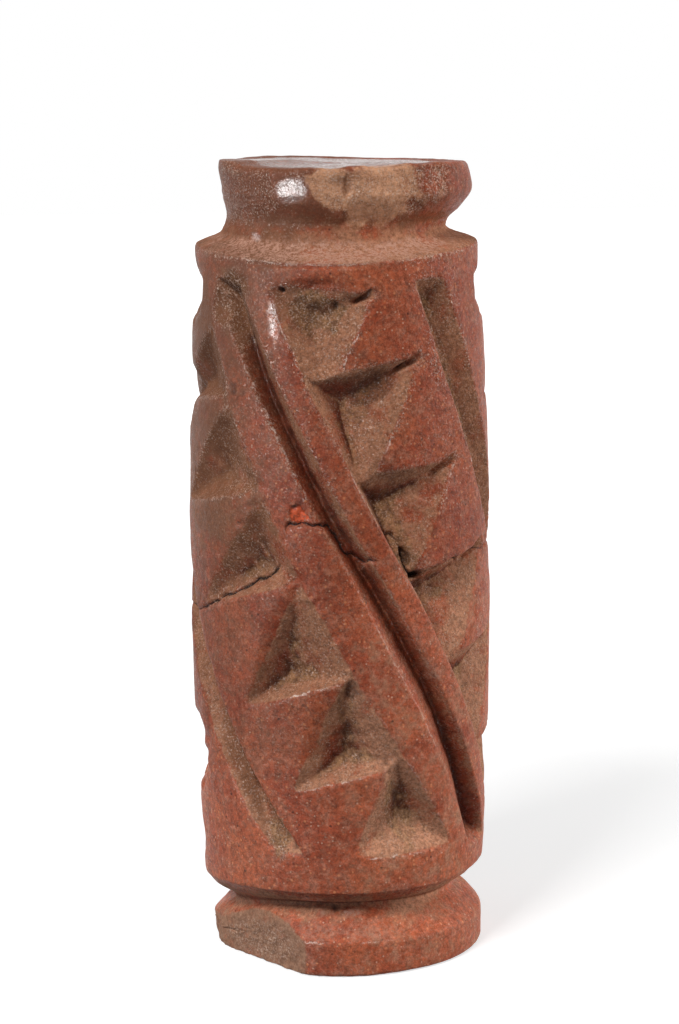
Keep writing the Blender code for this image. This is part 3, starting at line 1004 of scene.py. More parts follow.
    def _bare_shaded_walls(self) -> Grid:
        """Work out where the groove's left wall is, which holds no dust and gets painted shade.

        Returns:
            1 on that wall of both panels, and 0 elsewhere.
        """
        angles, heights = self.relief.angles, self.relief.heights
        carving = self.carving
        left = carving.ridge_a_right.angle(heights)
        width = (carving.ridge_b_left.angle(heights) - left) * carving.arc
        reach = width * np.interp(heights, (38.0, 48.0), (0.95, 0.62))
        below_head = smooth_step(62.0, 60.0, heights)
        bare_and_shaded = np.zeros(angles.shape)
        for turn in PANEL_TURNS:
            inside = (turn_between(angles, turn) - left) * carving.arc
            wall = smooth_step(-0.2, 0.2, inside) * smooth_step(0.3, -0.3, inside - reach)
            bare_and_shaded = np.maximum(bare_and_shaded, wall * below_head)
        return bare_and_shaded

    def _grit(self, hollow: Grid) -> Grid:
        """Work out how much loose and standing sand each point shows.

        Args:
            hollow: How deep each point lies in a crease.

        Returns:
            The share, from 0 to 1.
        """
        relief = self.relief
        angles, heights = relief.angles, relief.heights
        grit = 0.3 + 0.35 * smooth_step(0.0, 0.3, relief.raw) + 0.3 * hollow
        grit = grit * (1.0 - 0.5 * smooth_step(-48.0, -60.0, angles) * smooth_step(40.0, 48.0, heights))
        for patch, most in self.gritty:
            grit = np.maximum(grit, most * self._zone(patch, 0.0, 0.4))
        rims = bell(heights, self.shoulder, 0.35) + bell(heights, self.knob_rim, 0.8)
        clusters = smooth_step(-0.08, 0.2, Unevenness(93).layered(relief.base, 3.0, 3, 0.7))
        grit = np.maximum(grit, rims * clusters)
        grit = np.maximum(grit, 0.9 * bell(relief.edge, 0.0, 0.45) * smooth_step(42.0, 47.0, heights))
        grit = np.maximum(grit, 0.9 * relief.open * bell(relief.crack, 0.0, 0.7))
        grit = np.clip(np.maximum(grit, relief.flaked), 0.0, 1.0)
        return grit * (1.0 - 0.8 * self._gloss())

    @staticmethod
    def _facing(skin: Grid) -> Grid:
        """Work out the direction in which each point of the skin faces.

        Args:
            skin: Places of all points.

        Returns:
            Directions of length 1.
        """
        round_step = np.roll(skin, -2, axis=1) - np.roll(skin, 2, axis=1)
        up_step = np.gradient(skin, axis=0)
        up_step = up_step + np.roll(up_step, 1, axis=0) + np.roll(up_step, -1, axis=0)
        normal = np.cross(round_step, up_step)
        return normal / np.maximum(np.linalg.norm(normal, axis=-1, keepdims=True), 1e-9)

    @staticmethod
    def _bulge(skin: Grid, spread: float) -> Grid:
        """Return how far each point stands out from its neighbourhood.

        Args:
            skin: Places of all points.
            spread: The neighbourhood's size, in cells.

        Returns:
            Millimetres outwards, below 0 in a hollow.
        """
        rows, columns = skin.shape[:2]
        doubled = np.concatenate([skin, skin[::-1]])
        row_waves = np.fft.fftfreq(2 * rows)[:, None, None]
        column_waves = np.fft.rfftfreq(columns)[None, :, None]
        keep = np.exp(-2.0 * (math.pi * spread) ** 2 * (row_waves**2 + column_waves**2))
        waves = np.fft.fft(np.fft.rfft(doubled, axis=1), axis=0)
        smooth = np.fft.irfft(np.fft.ifft(waves * keep, axis=0), columns, axis=1)[:rows]
        round_step = np.roll(skin, -1, axis=1) - np.roll(skin, 1, axis=1)
        up_step = np.gradient(skin, axis=0)
        normal = np.cross(round_step, up_step)
        normal /= np.maximum(np.linalg.norm(normal, axis=-1, keepdims=True), 1e-9)
        return np.sum((skin - smooth) * normal, axis=-1)

    def _soot(self) -> Grid:
        """Work out how dark the clay was fired: most on the left and on the knob.

        Returns:
            The share at each point, from 0 to 1.
        """
        angles, heights = self.relief.angles, self.relief.heights
        leftness = -np.sin(np.radians(angles))
        left = smooth_step(0.1, 0.75, leftness) * smooth_step(12.0, 34.0, heights)
        left = left * (0.6 + 0.4 * smooth_step(46.0, 54.0, heights))
        upper_left = 0.75 * smooth_step(0.1, 0.5, leftness) * smooth_step(42.0, 50.0, heights)
        left = np.maximum(left, upper_left)
        knob = smooth_step(71.5, 73.5, heights) * (0.55 + 0.45 * smooth_step(-0.45, 0.4, leftness))
        cloud = Unevenness(121).layered(self.relief.base, 14.0, 3)
        # Less soot low on the right, which brightens it as painted light.
        clean = smooth_step(0.05, -0.2, leftness) * smooth_step(42.0, 34.0, heights)
        return np.clip(0.9 * knob + 0.8 * left + 0.4 * cloud * (1.0 - clean), 0.0, 1.0)

    def _gloss(self) -> Grid:
        """Work out how highly burnished each point is.

        Returns:
            The share, from 0 to 1.
        """
        gloss = np.zeros(self.relief.angles.shape)
        for patch, most in self.burnished:
            gloss = np.maximum(gloss, most * self._zone(patch, -0.15, 0.5))
        return gloss

    def _spots(self, spots: Spots) -> Grid:
        """Work out how strongly small spots with ragged edges mark each point.

        Args:
            spots: The spots, and how strong each is.

        Returns:
            The strength, from 0 upwards.
        """
        relief = self.relief
        strength = np.zeros(relief.angles.shape)
        ragged = 0.5 * Unevenness(141).layered(relief.base, 0.9, 2, 0.7)
        for patch, most in spots:
            share = patch.share(relief.angles, relief.heights) + ragged
            strength = np.maximum(strength, most * smooth_step(-0.1, 0.45, share))
        return strength


@dataclass(frozen=True)
class NodeBench:
    """Adds and joins the nodes of a finish, for the clay, the floor or the sky.

    Attributes:
        tree: The finish's nodes.
    """

    tree: bpy.types.NodeTree

    def node(self, kind: str, **settings: object) -> bpy.types.Node:
        """Add a node.

        Args:
            kind: The node's type.
            **settings: Its settings by name.

        Returns:
            The node.
        """
        new = self.tree.nodes.new(kind)
        for name, value in settings.items():
            setattr(new, name, value)
        return new

    def feed(self, socket: Socket, value: object) -> None:
        """Link a socket or set a plain value into another socket.

        Args:
            socket: The socket that is fed.
            value: A socket or a plain value.
        """
        if isinstance(value, bpy.types.NodeSocket):
            self.tree.links.new(value, socket)
        else:
            socket.default_value = value

    def place(self) -> Socket:
        """Return the surface's place in the object's own space."""
        return self.node("ShaderNodeTexCoord").outputs["Object"]

    def mark(self, mark: Mark) -> Socket:
        """Return a mark stored on the points."""
        return self.node("ShaderNodeAttribute", attribute_name=mark.value).outputs["Fac"]

    def noise(self, wavelength: float, detail: float, roughness: float, warp: float = 0.0) -> Socket:
        """Return a noise value.

        Args:
            wavelength: Size of the noise's swellings.
            detail: How many finer layers are added.
            roughness: How strong the finer layers are.
            warp: How far the noise is twisted.

        Returns:
            The value, about 0.5.
        """
        new = self.node("ShaderNodeTexNoise")
        self.feed(new.inputs["Vector"], self.place())
        new.inputs["Scale"].default_value = 1.0 / (wavelength * MM)
        new.inputs["Detail"].default_value = detail
        new.inputs["Roughness"].default_value = roughness
        new.inputs["Distortion"].default_value = warp
        return new.outputs["Fac"]

    def grains(self, spacing: float) -> tuple[Socket, Socket]:
        """Scatter grains of sand.

        Args:
            spacing: About how far they lie apart.

        Returns:
            The distance from the nearest grain, and a value that differs from grain to grain.
        """
        new = self.node("ShaderNodeTexVoronoi")
        self.feed(new.inputs["Vector"], self.place())
        new.inputs["Scale"].default_value = 1.0 / (spacing * MM)
        apart = self.node("ShaderNodeSeparateColor")
        self.feed(apart.inputs["Color"], new.outputs["Color"])
        return new.outputs["Distance"], apart.outputs["Red"]

    def ramp(self, value: Socket, low: float, high: float, start: float = 0.0, end: float = 1.0) -> Socket:
        """Return a soft ramp of a value.

        Args:
            value: The value to look up.
            low: Where the ramp starts.
            high: Where it ends.
            start: What it gives at its start.
            end: What it gives at its end.

        Returns:
            The ramp's value.
        """
        new = self.node("ShaderNodeMapRange", interpolation_type="SMOOTHSTEP")
        self.feed(new.inputs["Value"], value)
        new.inputs["From Min"].default_value = low
        new.inputs["From Max"].default_value = high
        new.inputs["To Min"].default_value = start
        new.inputs["To Max"].default_value = end
        return new.outputs["Result"]

    def math(self, operation: str, first: object, second: object, clamp: bool = False) -> Socket:
        """Calculate with two values.

        Args:
            operation: What is done with them.
            first: The first value.
            second: The second value.
            clamp: Whether the outcome is kept between 0 and 1.

        Returns:
            The outcome.
        """
        new = self.node("ShaderNodeMath", operation=operation, use_clamp=clamp)
        self.feed(new.inputs[0], first)
        self.feed(new.inputs[1], second)
        return new.outputs["Value"]

    def blend(self, share: object, first: object, second: object, mode: str = "MIX") -> Socket:
        """Return a mix of two colours.

        Args:
            share: How much of the second colour there is.
            first: The first colour.
            second: The second colour.
            mode: How the two are mixed.

        Returns:
            The mixed colour.
        """
        new = self.node("ShaderNodeMix", data_type="RGBA", blend_type=mode, clamp_factor=True)
        self.feed(new.inputs[MIX_SHARE], share)
        self.feed(new.inputs[MIX_FIRST], first)
        self.feed(new.inputs[MIX_SECOND], second)
        return new.outputs[MIX_COLOUR]

    def multiply(self, first: object, second: object) -> Socket:
        """Return the product of two values."""
        return self.math("MULTIPLY", first, second)

    def tint(self, share: object, colour: object, tint: object) -> Socket:
        """Return a colour multiplied by another, as far as the share says."""
        return self.blend(share, colour, tint, "MULTIPLY")

    def grey(self, value: Socket) -> Socket:
        """Return a value as a grey colour.

        Args:
            value: The value.

        Returns:
            The colour.
        """
        new = self.node("ShaderNodeCombineColor")
        for name in ("Red", "Green", "Blue"):
            self.feed(new.inputs[name], value)
        return new.outputs["Color"]

    def ragged(self, mark: Mark, veil: Socket, less: float, more: float, spread: float = 0.2) -> Socket:
        """Return a mark with its edge broken up by a noise, which adds from less to more to it."""
        return self.math("ADD", self.mark(mark), self.ramp(veil, 0.5 - spread, 0.5 + spread, less, more))


@dataclass(frozen=True)
class FiredClay(NodeBench):
    """Burnished red-brown clay with sand in it, worn edges and earth in the carving.

    Attributes:
        deep_red: The clay's darker red.
        warm_red: Its lighter red.
        film: Thin film of dirt on the red.
        smoky_red: Red darkened by smoke.
        dust: Dust in the carving and on the ledges.
        earth: Dry earth.
        dark_earth: Damp earth between it.
        patina: Brown of the upper left.
        sooty: Soot-dark clay.
        painted_low_light: What the lower clay's colour is multiplied by, a painted light that brightens it.
        broken: Light tan of the broken clay.
        broken_dark: Dark tan between it.
        foot_break: What the tan is multiplied by on the foot.
        painted_wall_shade: What the carving's walls that face down or to the right are multiplied by, as
            painted shade.
        crease_shade: What the carving's creases are multiplied by, as painted shade.
        pale: Rubbed edges, partly a painted highlight, and pale spots.
        glint: Painted highlight, the thin bright line on worn edges.
        speck_dark: Dark specks.
        speck_pale: Pale specks.
        ember: The bright scar beside the crack.
        shadow: The crack, pits and dark grains.
        sand: Light grains of sand.
        orange_sand: Orange grains of sand.
    """

    deep_red: Colour = (0.275, 0.050, 0.020, 1.0)
    warm_red: Colour = (0.360, 0.084, 0.034, 1.0)
    film: Colour = (0.370, 0.148, 0.088, 1.0)
    smoky_red: Colour = (0.150, 0.042, 0.023, 1.0)
    dust: Colour = (0.360, 0.160, 0.086, 1.0)
    earth: Colour = (0.300, 0.150, 0.068, 1.0)
    dark_earth: Colour = (0.120, 0.054, 0.028, 1.0)
    patina: Colour = (0.215, 0.088, 0.042, 1.0)
    sooty: Colour = (0.145, 0.056, 0.027, 1.0)
    painted_low_light: Colour = (1.38, 1.50, 1.62, 1.0)
    broken: Colour = (0.720, 0.370, 0.205, 1.0)
    broken_dark: Colour = (0.440, 0.200, 0.108, 1.0)
    foot_break: Colour = (0.56, 0.62, 0.70, 1.0)
    painted_wall_shade: Colour = (0.50, 0.38, 0.32, 1.0)
    crease_shade: Colour = (0.50, 0.42, 0.36, 1.0)
    pale: Colour = (0.50, 0.27, 0.19, 1.0)
    glint: Colour = (0.92, 0.72, 0.62, 1.0)
    speck_dark: Colour = (0.075, 0.036, 0.022, 1.0)
    speck_pale: Colour = (0.56, 0.35, 0.24, 1.0)
    ember: Colour = (0.78, 0.13, 0.045, 1.0)
    shadow: Colour = (0.016, 0.008, 0.006, 1.0)
    sand: Colour = (0.54, 0.31, 0.21, 1.0)
    orange_sand: Colour = (0.58, 0.20, 0.085, 1.0)

    @classmethod
    def material(cls) -> bpy.types.Material:
        """Build the clay's material.

        Returns:
            The material.
        """
        clay = bpy.data.materials.new("fired_clay_dressed")
        clay.use_nodes = True
        cls(clay.node_tree).dress(clay.node_tree.nodes["Principled BSDF"])
        return clay

    def dress(self, shader: bpy.types.Node) -> None:
        """Give a shader the clay's colour, roughness, unevenness and gloss.

        Args:
            shader: The shader.
        """
        self.feed(shader.inputs["Base Color"], self._colour())
        self.feed(shader.inputs["Roughness"], self._roughness())
        self.feed(shader.inputs["Normal"], self._bumps())
        shader.inputs["Metallic"].default_value = 0.0
        shader.inputs["IOR"].default_value = 1.5
        sparkle = self.multiply(self._glass(), self.mark(Mark.GRIT))
        streaks = self.ramp(self.noise(0.4, 3.0, 0.7), 0.38, 0.52, 0.4, 1.0)
        gloss = self.multiply(self.mark(Mark.GLOSS), streaks)
        shine = self.math("MAXIMUM", self.ramp(gloss, 0.05, 0.8, 0.1, 0.9), sparkle)
        self.feed(shader.inputs["Specular IOR Level"], shine)

    def _colour(self) -> Socket:
        """Lay the clay's colour, from the burnished red up to the crack.

        Returns:
            The colour.
        """
        colour = self._burnished_red()
        colour = self._with_dust_and_earth(colour)
        colour = self._with_age(colour)
        colour = self._with_breaks(colour)
        # Painted shade: walls that face down or to the right are darkened.
        colour = self.tint(self.multiply(self.mark(Mark.SHADE), 0.95), colour, self.painted_wall_shade)
        # Painted shade in the carving's creases.
        colour = self.tint(self.ramp(self.mark(Mark.HOLLOW), 0.2, 1.0), colour, self.crease_shade)
        colour = self._with_specks(colour)
        colour = self._with_wear_and_highlights(colour)
        colour = self._with_ember(colour)
        colour = self.blend(self.multiply(self.mark(Mark.PIT), 0.85), colour, self.shadow)
        return self.blend(self._crack_line(), colour, self.shadow)

    def _burnished_red(self) -> Socket:
        """Lay the uneven red of the clean clay.

        Returns:
            The colour.
        """
        clouds = self.ramp(self.noise(6.0, 4.0, 0.65), 0.35, 0.65)
        red = self.blend(clouds, self.deep_red, self.warm_red)
        film = self.ramp(self.noise(1.3, 6.0, 0.85, 0.6), 0.47, 0.62, 0.0, 0.6)
        red = self.blend(film, red, self.film)
        smoky = self.ramp(self.noise(0.85, 6.0, 0.85, 0.5), 0.5, 0.63, 0.0, 0.62)
        red = self.blend(smoky, red, self.smoky_red)
        fine = self.ramp(self.noise(0.5, 6.0, 0.85), 0.34, 0.66, 0.58, 1.45)
        red = self.tint(1.0, red, self.grey(fine))
        return self._with_sand(red)

    def _with_dust_and_earth(self, colour: Socket) -> Socket:
        """Lay dust and earth in the carving.

        Args:
            colour: The colour under it.

        Returns:
            The colour.
        """
        speckle = self.grey(self.ramp(self.noise(0.4, 5.0, 0.85), 0.34, 0.66, 0.56, 1.44))
        dusty = self.ragged(Mark.DUST, self.noise(1.7, 5.0, 0.75), -0.35, 0.35)
        dusty = self.ramp(dusty, 0.15, 0.85, 0.0, 0.9)
        colour = self.blend(dusty, colour, self.tint(1.0, self.dust, speckle))
        clods = self.ramp(self.noise(0.9, 5.0, 0.75), 0.36, 0.6)
        earth = self.tint(1.0, self.blend(clods, self.dark_earth, self.earth), speckle)
        cover = self.ragged(Mark.EARTH, self.noise(1.0, 5.0, 0.7), -0.3, 0.3, 0.25)
        return self.blend(self.ramp(cover, 0.3, 1.0, 0.0, 0.85), colour, earth)

    def _with_age(self, colour: Socket) -> Socket:
        """Lay the brown of the upper left, the soot, and the painted light that brightens the clay low
        down.

        Args:
            colour: The colour under it.

        Returns:
            The colour.
        """
        old = self.grey(self.ramp(self.noise(0.3, 5.0, 0.85), 0.35, 0.65, 0.6, 1.4))
        grime = self.ragged(Mark.PATINA, self.noise(1.2, 5.0, 0.75), -0.3, 0.3)
        grime = self.ramp(grime, 0.1, 0.9, 0.0, 0.85)
        colour = self.blend(grime, colour, self.tint(1.0, self.patina, old))
        soot = self.ragged(Mark.SOOT, self.noise(1.6, 4.0, 0.7), -0.25, 0.25)
        colour = self.blend(self.ramp(soot, 0.1, 1.0, 0.0, 0.75), colour, self.sooty)
        # Painted light: the lower clay is brightened.
        return self.tint(self.mark(Mark.FADED), colour, self.painted_low_light)

    def _with_breaks(self, colour: Socket) -> Socket:
        """Lay the tan of the broken clay.

        Args:
            colour: The colour round it.

        Returns:
            The colour.
        """
        mottled = self.ramp(self.noise(0.5, 5.0, 0.8), 0.32, 0.62)
        broken = self.blend(mottled, self.broken_dark, self.broken)
        broken = self.tint(self.mark(Mark.FADED), broken, self.foot_break)
        torn = self.ragged(Mark.BROKEN, self.noise(1.3, 5.0, 0.75), -0.4, 0.25)
        return self.blend(self.ramp(torn, 0.2, 0.9, 0.0, 0.9), colour, broken)

    def _with_sand(self, colour: Socket) -> Socket:
        """Scatter light, orange and dark grains of sand.

        Args:
            colour: The colour round them.

        Returns:
            The colour.
        """
        for spacing, size, rare, grain in (
            (0.34, 0.36, 0.84, self.sand),
            (0.45, 0.40, 0.80, self.orange_sand),
            (0.60, 0.28, 0.88, self.shadow),
        ):
            away, which = self.grains(spacing)
            spot = self.ramp(away, size, size * 0.45)
            spot = self.multiply(spot, self.ramp(which, rare, rare + 0.12))
            colour = self.blend(self.multiply(spot, 0.75), colour, grain)
        return colour

    def _with_specks(self, colour: Socket) -> Socket:
        """Scatter the dark and pale specks of standing sand.

        Args:
            colour: The colour round them.

        Returns:
            The colour.
        """
        dark = self.math("MAXIMUM", self.mark(Mark.SHADE), self.mark(Mark.HOLLOW))
        lit = self.math("SUBTRACT", 1.0, dark, True)
        cluster = self.ramp(self.noise(1.5, 4.0, 0.65), 0.42, 0.6, 0.3, 1.0)
        whole = self.math("SUBTRACT", 0.8, self.multiply(self.mark(Mark.BROKEN), 0.5))
        for size, tint, share in ((0.24, self.speck_dark, whole), (0.18, self.speck_pale, lit)):
            extra = self.multiply(self.mark(Mark.GRIT), 0.07)
            grain = self.math("ADD", self.noise(size, 3.0, 0.75), extra)
            speck = self.ramp(grain, 0.56, 0.68, 0.0, 0.85)
            speck = self.multiply(self.multiply(speck, self.mark(Mark.GRIT)), cluster)
            colour = self.blend(self.multiply(speck, share), colour, tint)
        return colour

    def _with_wear_and_highlights(self, colour: Socket) -> Socket:
        """Rub the edges pale, partly as a painted highlight, draw the painted highlight lines on them, and
        set the pale spots.

        Args:
            colour: The colour under it.

        Returns:
            The colour.
        """
        # Convex edges made paler: rubbed wear, and partly a painted highlight.
        patches = self.ramp(self.noise(0.45, 5.0, 0.8), 0.5, 0.62)
        rubbed_and_highlit = self.multiply(self.mark(Mark.WEAR), patches)
        colour = self.blend(self.ramp(rubbed_and_highlit, 0.1, 0.9, 0.0, 0.45), colour, self.pale)
        # Painted highlight line along the worn edges.
        colour = self.blend(self._edge_highlight(), colour, self.glint)
        patches = self.ramp(self.noise(0.35, 4.0, 0.8), 0.4, 0.6)
        return self.blend(self.multiply(self.mark(Mark.PALE), patches), colour, self.pale)

    def _with_ember(self, colour: Socket) -> Socket:
        """Return the colour with the bright scar beside the crack laid on it."""
        fresh = self.blend(self.ramp(self.noise(0.5, 4.0, 0.8), 0.34, 0.54), self.deep_red, self.ember)
        return self.blend(self.ramp(self.mark(Mark.EMBER), 0.3, 0.8, 0.0, 0.9), colour, fresh)

    def _edge_highlight(self) -> Socket:
        """Draw the painted highlight, a thin bright line along the carving's worn edges.

        Returns:
            How bright it is.
        """
        stray = self.ramp(self.noise(0.8, 4.0, 0.75), 0.2, 0.8, -0.16, 0.16)
        away = self.math("ABSOLUTE", self.math("ADD", self.mark(Mark.EDGE), stray), 0.0)
        line = self.ramp(away, 0.12, 0.02)
        line = self.multiply(line, self.ramp(self.noise(0.9, 5.0, 0.85), 0.45, 0.6))
        return self.multiply(line, self.ramp(self.mark(Mark.SHINE), 0.1, 1.0, 0.0, 0.75))

    def _crack_line(self) -> Socket:
        """Draw the crack.

        Returns:
            How dark it is.
        """
        stray = self.ramp(self.noise(0.5, 3.0, 0.7), 0.2, 0.8, -0.12, 0.12)
        away = self.math("ABSOLUTE", self.math("ADD", self.mark(Mark.CRACK), stray), 0.0)
        width = self.multiply(self.mark(Mark.OPEN), 0.13)
        return self.ramp(self.math("SUBTRACT", away, width), 0.04, -0.05, 0.0, 0.9)

    def _glass(self) -> Socket:
        """Return 1 on the few grains of sand that catch the light, and 0 elsewhere."""
        return self.ramp(self.noise(0.18, 3.0, 0.75), 0.54, 0.64)

    def _roughness(self) -> Socket:
        """Work out the clay's roughness.

        Returns:
            The roughness.
        """
        base = self.ramp(self.noise(0.9, 4.0, 0.7), 0.3, 0.7, 0.42, 0.6)
        rough = self.math("ADD", base, self.ramp(self.mark(Mark.DUST), 0.1, 0.7, 0.0, 0.35))
        rough = self.math("ADD", rough, self.ramp(self.mark(Mark.BROKEN), 0.1, 0.7, 0.0, 0.3))
        smooth = self.ramp(self.mark(Mark.GLOSS), 0.1, 0.7, 0.0, 0.4)
        smooth = self.math("MAXIMUM", smooth, self.multiply(self._glass(), 0.3))
        return self.math("SUBTRACT", rough, smooth, True)

    def _bumps(self) -> Socket:
        """Work out the clay's fine unevenness, with heights in metres.

        Returns:
            The surface's direction.
        """
        grains = self.ramp(self.mark(Mark.GRIT), 0.2, 1.0, 0.00005, 0.00013)
        height = self.multiply(self.noise(0.2, 3.0, 0.75), grains)
        coarse = self.multiply(self.noise(0.6, 3.0, 0.65), 0.0001)
        height = self.math("ADD", height, coarse)
        new = self.node("ShaderNodeBump")
        new.inputs["Strength"].default_value = 0.8
        new.inputs["Distance"].default_value = 1.0
        self.feed(new.inputs["Height"], height)
        return new.outputs["Normal"]


@dataclass(frozen=True)
class FlatBreak:
    """A flat break that takes a piece off the foot.

    Attributes:
        facing: The angle that it faces.
        lean: How far it leans outwards as it climbs, in degrees.
        reach: Its distance from the axis at the underside.
    """

    facing: float
    lean: float
    reach: float


@dataclass
class StampBody:
    """The whole stamp: foot, carved barrel and knob, modelled as one skin.

    Attributes:
        columns: How many cells go round the stamp.
        column_width: About how wide one is.
        faces_kept: How many triangles are left after thinning.
        outline: The outline before the carving.
        carving: The carved pattern.
        crack: The old break.
        knob_shift: Height, and how far the stamp stands off its axis there, to the right.
        spalls: Where the knob's face has flaked off.
        softened: Where the carving's edges are rubbed down most.
        dents: Places that are pressed or worn in, and how deep.
        ember: The bright scar beside the crack.
        rims: Heights of the barrel's upper rim and the foot's.
        foot_drop: How far the foot's rim hangs down on the right and on the left.
        base_rise: How far the barrel's lower rim climbs on the right and hangs down on the left.
        neck_rise: How far the lower neck climbs at the front.
        shoulder_bend: How far the barrel's upper rim climbs at both sides and hangs down in front.
        top_dips: Directions in radians in which the top slopes down, and how far.
        knob_lump: Angle, width and height of a lump on the knob's rim.
        flat_breaks: The flat breaks on the foot.
        flat_break_top: Height up to which they go.
        top_middle: How far to the right the top's middle lies, and how far below its rim.
        tool_slant: Millimetres that the tool marks run across for each millimetre down.
        tool_stretch: How far unevenness is squeezed along them.
        cap_bumps: How uneven the underside and the top are.
        marks: What each point carries for its finish.
    """

    columns: int = 620
    column_width: float = 0.15
    faces_kept: int = 196000
    outline: Outline = field(default_factory=Outline)
    carving: Carving = field(default_factory=Carving)
    crack: Crack = field(default_factory=Crack)
    knob_shift: Curve = (
        (0.0, 0.03), (3.6, 0.03), (7.2, 0.0), (70.4, 0.0), (71.4, -0.2), (72.2, 0.1), (73.0, 0.6),
        (74.6, 1.08), (75.4, 1.1), (77.0, 0.82), (78.0, 0.78),
    )
    spalls: tuple[Patch, ...] = (
        Patch(-3.0, 75.8, 17.0, 3.0, -0.05),
        Patch(18.0, 75.3, 30.0, 3.9),
        Patch(38.0, 75.4, 22.0, 3.2, 0.03),
    )
    softened: tuple[Patch, ...] = (
        Patch(2.0, 59.6, 12.0, 2.0),
        Patch(16.0, 49.0, 7.0, 1.8),
        Patch(28.0, 39.8, 7.0, 1.8),
        Patch(-26.0, 32.6, 13.0, 6.5, 0.45),
        Patch(-8.0, 24.6, 9.0, 4.0, 0.4),
        Patch(-17.0, 38.6, 7.0, 2.0),
        Patch(-8.0, 66.6, 18.0, 1.4),
        Patch(-88.0, 56.0, 46.0, 14.0),
    )
    dents: Spots = (
        (Patch(-90.0, 20.2, 30.0, 5.0), 1.6),
        (Patch(-89.0, 11.2, 14.0, 2.4), 0.35),
        (Patch(-92.0, 54.8, 14.0, 3.6), 0.45),
        (Patch(-88.0, 65.4, 26.0, 3.6), 0.9),
        (Patch(92.0, 65.4, 26.0, 3.4), 0.8),
        (Patch(-90.0, 57.3, 10.0, 1.3), 0.2),
        (Patch(-12.0, 69.0, 34.0, 0.55), 0.25),
        (Patch(0.5, 75.8, 2.6, 1.6, 0.25), 0.3),
        (Patch(26.3, 41.0, 2.6, 1.0, -0.3), 0.7),
        (Patch(30.4, 39.2, 3.4, 0.6, 0.03), 1.1),
        (Patch(-0.3, 64.9, 1.4, 0.6), 0.25),
        (Patch(-13.0, 5.75, 5.5, 0.5, -0.04), -0.24),
        (Patch(4.0, 5.6, 5.5, 0.35), -0.2),
        (Patch(-22.0, 66.4, 1.6, 0.4), 0.5),
        (Patch(3.6, 28.2, 3.4, 1.5), 0.25),
    )
    ember: Patch = Patch(-15.8, 45.5, 3.3, 1.1, -0.12)
    rims: tuple[float, float] = (69.22, 3.45)
    foot_drop: tuple[float, float] = (0.1, 1.8)
    base_rise: tuple[float, float] = (0.45, 1.15)
    neck_rise: float = 0.5
    shoulder_bend: tuple[float, float] = (0.75, 0.45)
    top_dips: Curve = ((-0.7, 0.38), (2.3, 0.45))
    knob_lump: tuple[float, float, float] = (-76.0, 16.0, 0.9)
    flat_breaks: tuple[FlatBreak, ...] = (
        FlatBreak(-50.0, 2.5, 11.3),
        FlatBreak(-80.0, 4.0, 12.5),
        FlatBreak(150.0, 20.0, 13.2),
    )
    flat_break_top: float = 6.2
    top_middle: tuple[float, float] = (0.78, 0.15)
    tool_slant: float = 0.62
    tool_stretch: float = 0.09
    cap_bumps: tuple[float, float] = (0.1, 0.12)
    marks: dict[Mark, Grid] = field(default_factory=dict, init=False)
    _cells: tuple[Grid, ...] = field(default=(), init=False)

    def build(self) -> bpy.types.Object:
        """Build the stamp.

        Returns:
            Its finished skin, with its marks stored on its points.
        """
        skin = self._shape()
        piece = self._sheet(skin)
        self._store_marks(piece)
        self._close_and_thin(piece)
        return piece

    @staticmethod
    def dress(skin: bpy.types.Object) -> None:
        """Give the skin its clay and its body, and hide the solid that it stands in for.

        Args:
            skin: The stamp's finished skin.
        """
        skin.data.materials.append(FiredClay.material())
        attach(skin, "root")
        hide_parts(NODE)

    def _shape(self) -> Grid:
        """Work out the shape of the skin, and its marks.

        Returns:
            The place of every point of the sheet, by row and column.
        """
        radius, height = self.outline.side()
        angle = -180.0 + 360.0 * np.arange(self.columns) / self.columns
        turn = np.radians(angle)
        angles, heights = np.broadcast_arrays(angle[None, :], height[:, None])
        around = np.radians(angles)
        base = np.stack([PLAIN_RADIUS * np.sin(around), -PLAIN_RADIUS * np.cos(around), heights], axis=-1)
        tangent = np.stack([np.gradient(radius), np.gradient(height)], axis=1)
        tangent /= np.linalg.norm(tangent, axis=1)[:, None]
        outward = np.stack([tangent[:, 1], -tangent[:, 0]], axis=1)

        relief = self._relief(angles, heights, base)
        whole = radius[:, None] - relief.sink * outward[:, 0:1]
        levels = heights - relief.sink * outward[:, 1:2]
        levels = levels + self._settle(angles, heights)
        radii = self._flat_breaks(angles, levels, whole)
        relief.broken = smooth_step(0.06, 0.3, whole - radii)
        radii = radii - relief.broken * 0.22 * Unevenness(84).layered(base, 2.4, 4, 0.7)

        shift = np.interp(levels, *zip(*self.knob_shift))
        side = np.stack([radii * np.sin(turn) + shift, -radii * np.cos(turn), levels], axis=-1)
        skin = self._with_caps(side)
        skin[..., 2] = np.clip(skin[..., 2], 0.0, STAMP_HEIGHT)
        lower_rows = self.outline.cap_rows[0]
        window = slice(lower_rows, lower_rows + len(side))
        shares = self._cap_shares(skin, window)
        for mark, value in SkinMarks(skin, window, relief, self.carving).values().items():
            self.marks[mark] = self._over_caps(mark, value, shares)
        return skin

    def _relief(self, angles: Grid, heights: Grid, base: Grid) -> Relief:
        """Carve the side, wear it, and break it.

        Args:
            angles: Angles of the points.
            heights: Heights of the points.
            base: Places of the points on a plain cylinder.

        Returns:
            What that leaves at each point.
        """
        raw = self._raw_carving(angles, heights, base)
        sink = self._worn_carving(raw, angles, heights, base)
        for patch, depth in self.dents:
            edge = patch.share(angles, heights) + 0.3 * Unevenness(74).layered(base, 2.5, 2)
            sink = sink + depth * smooth_step(0.0, 0.7, edge)

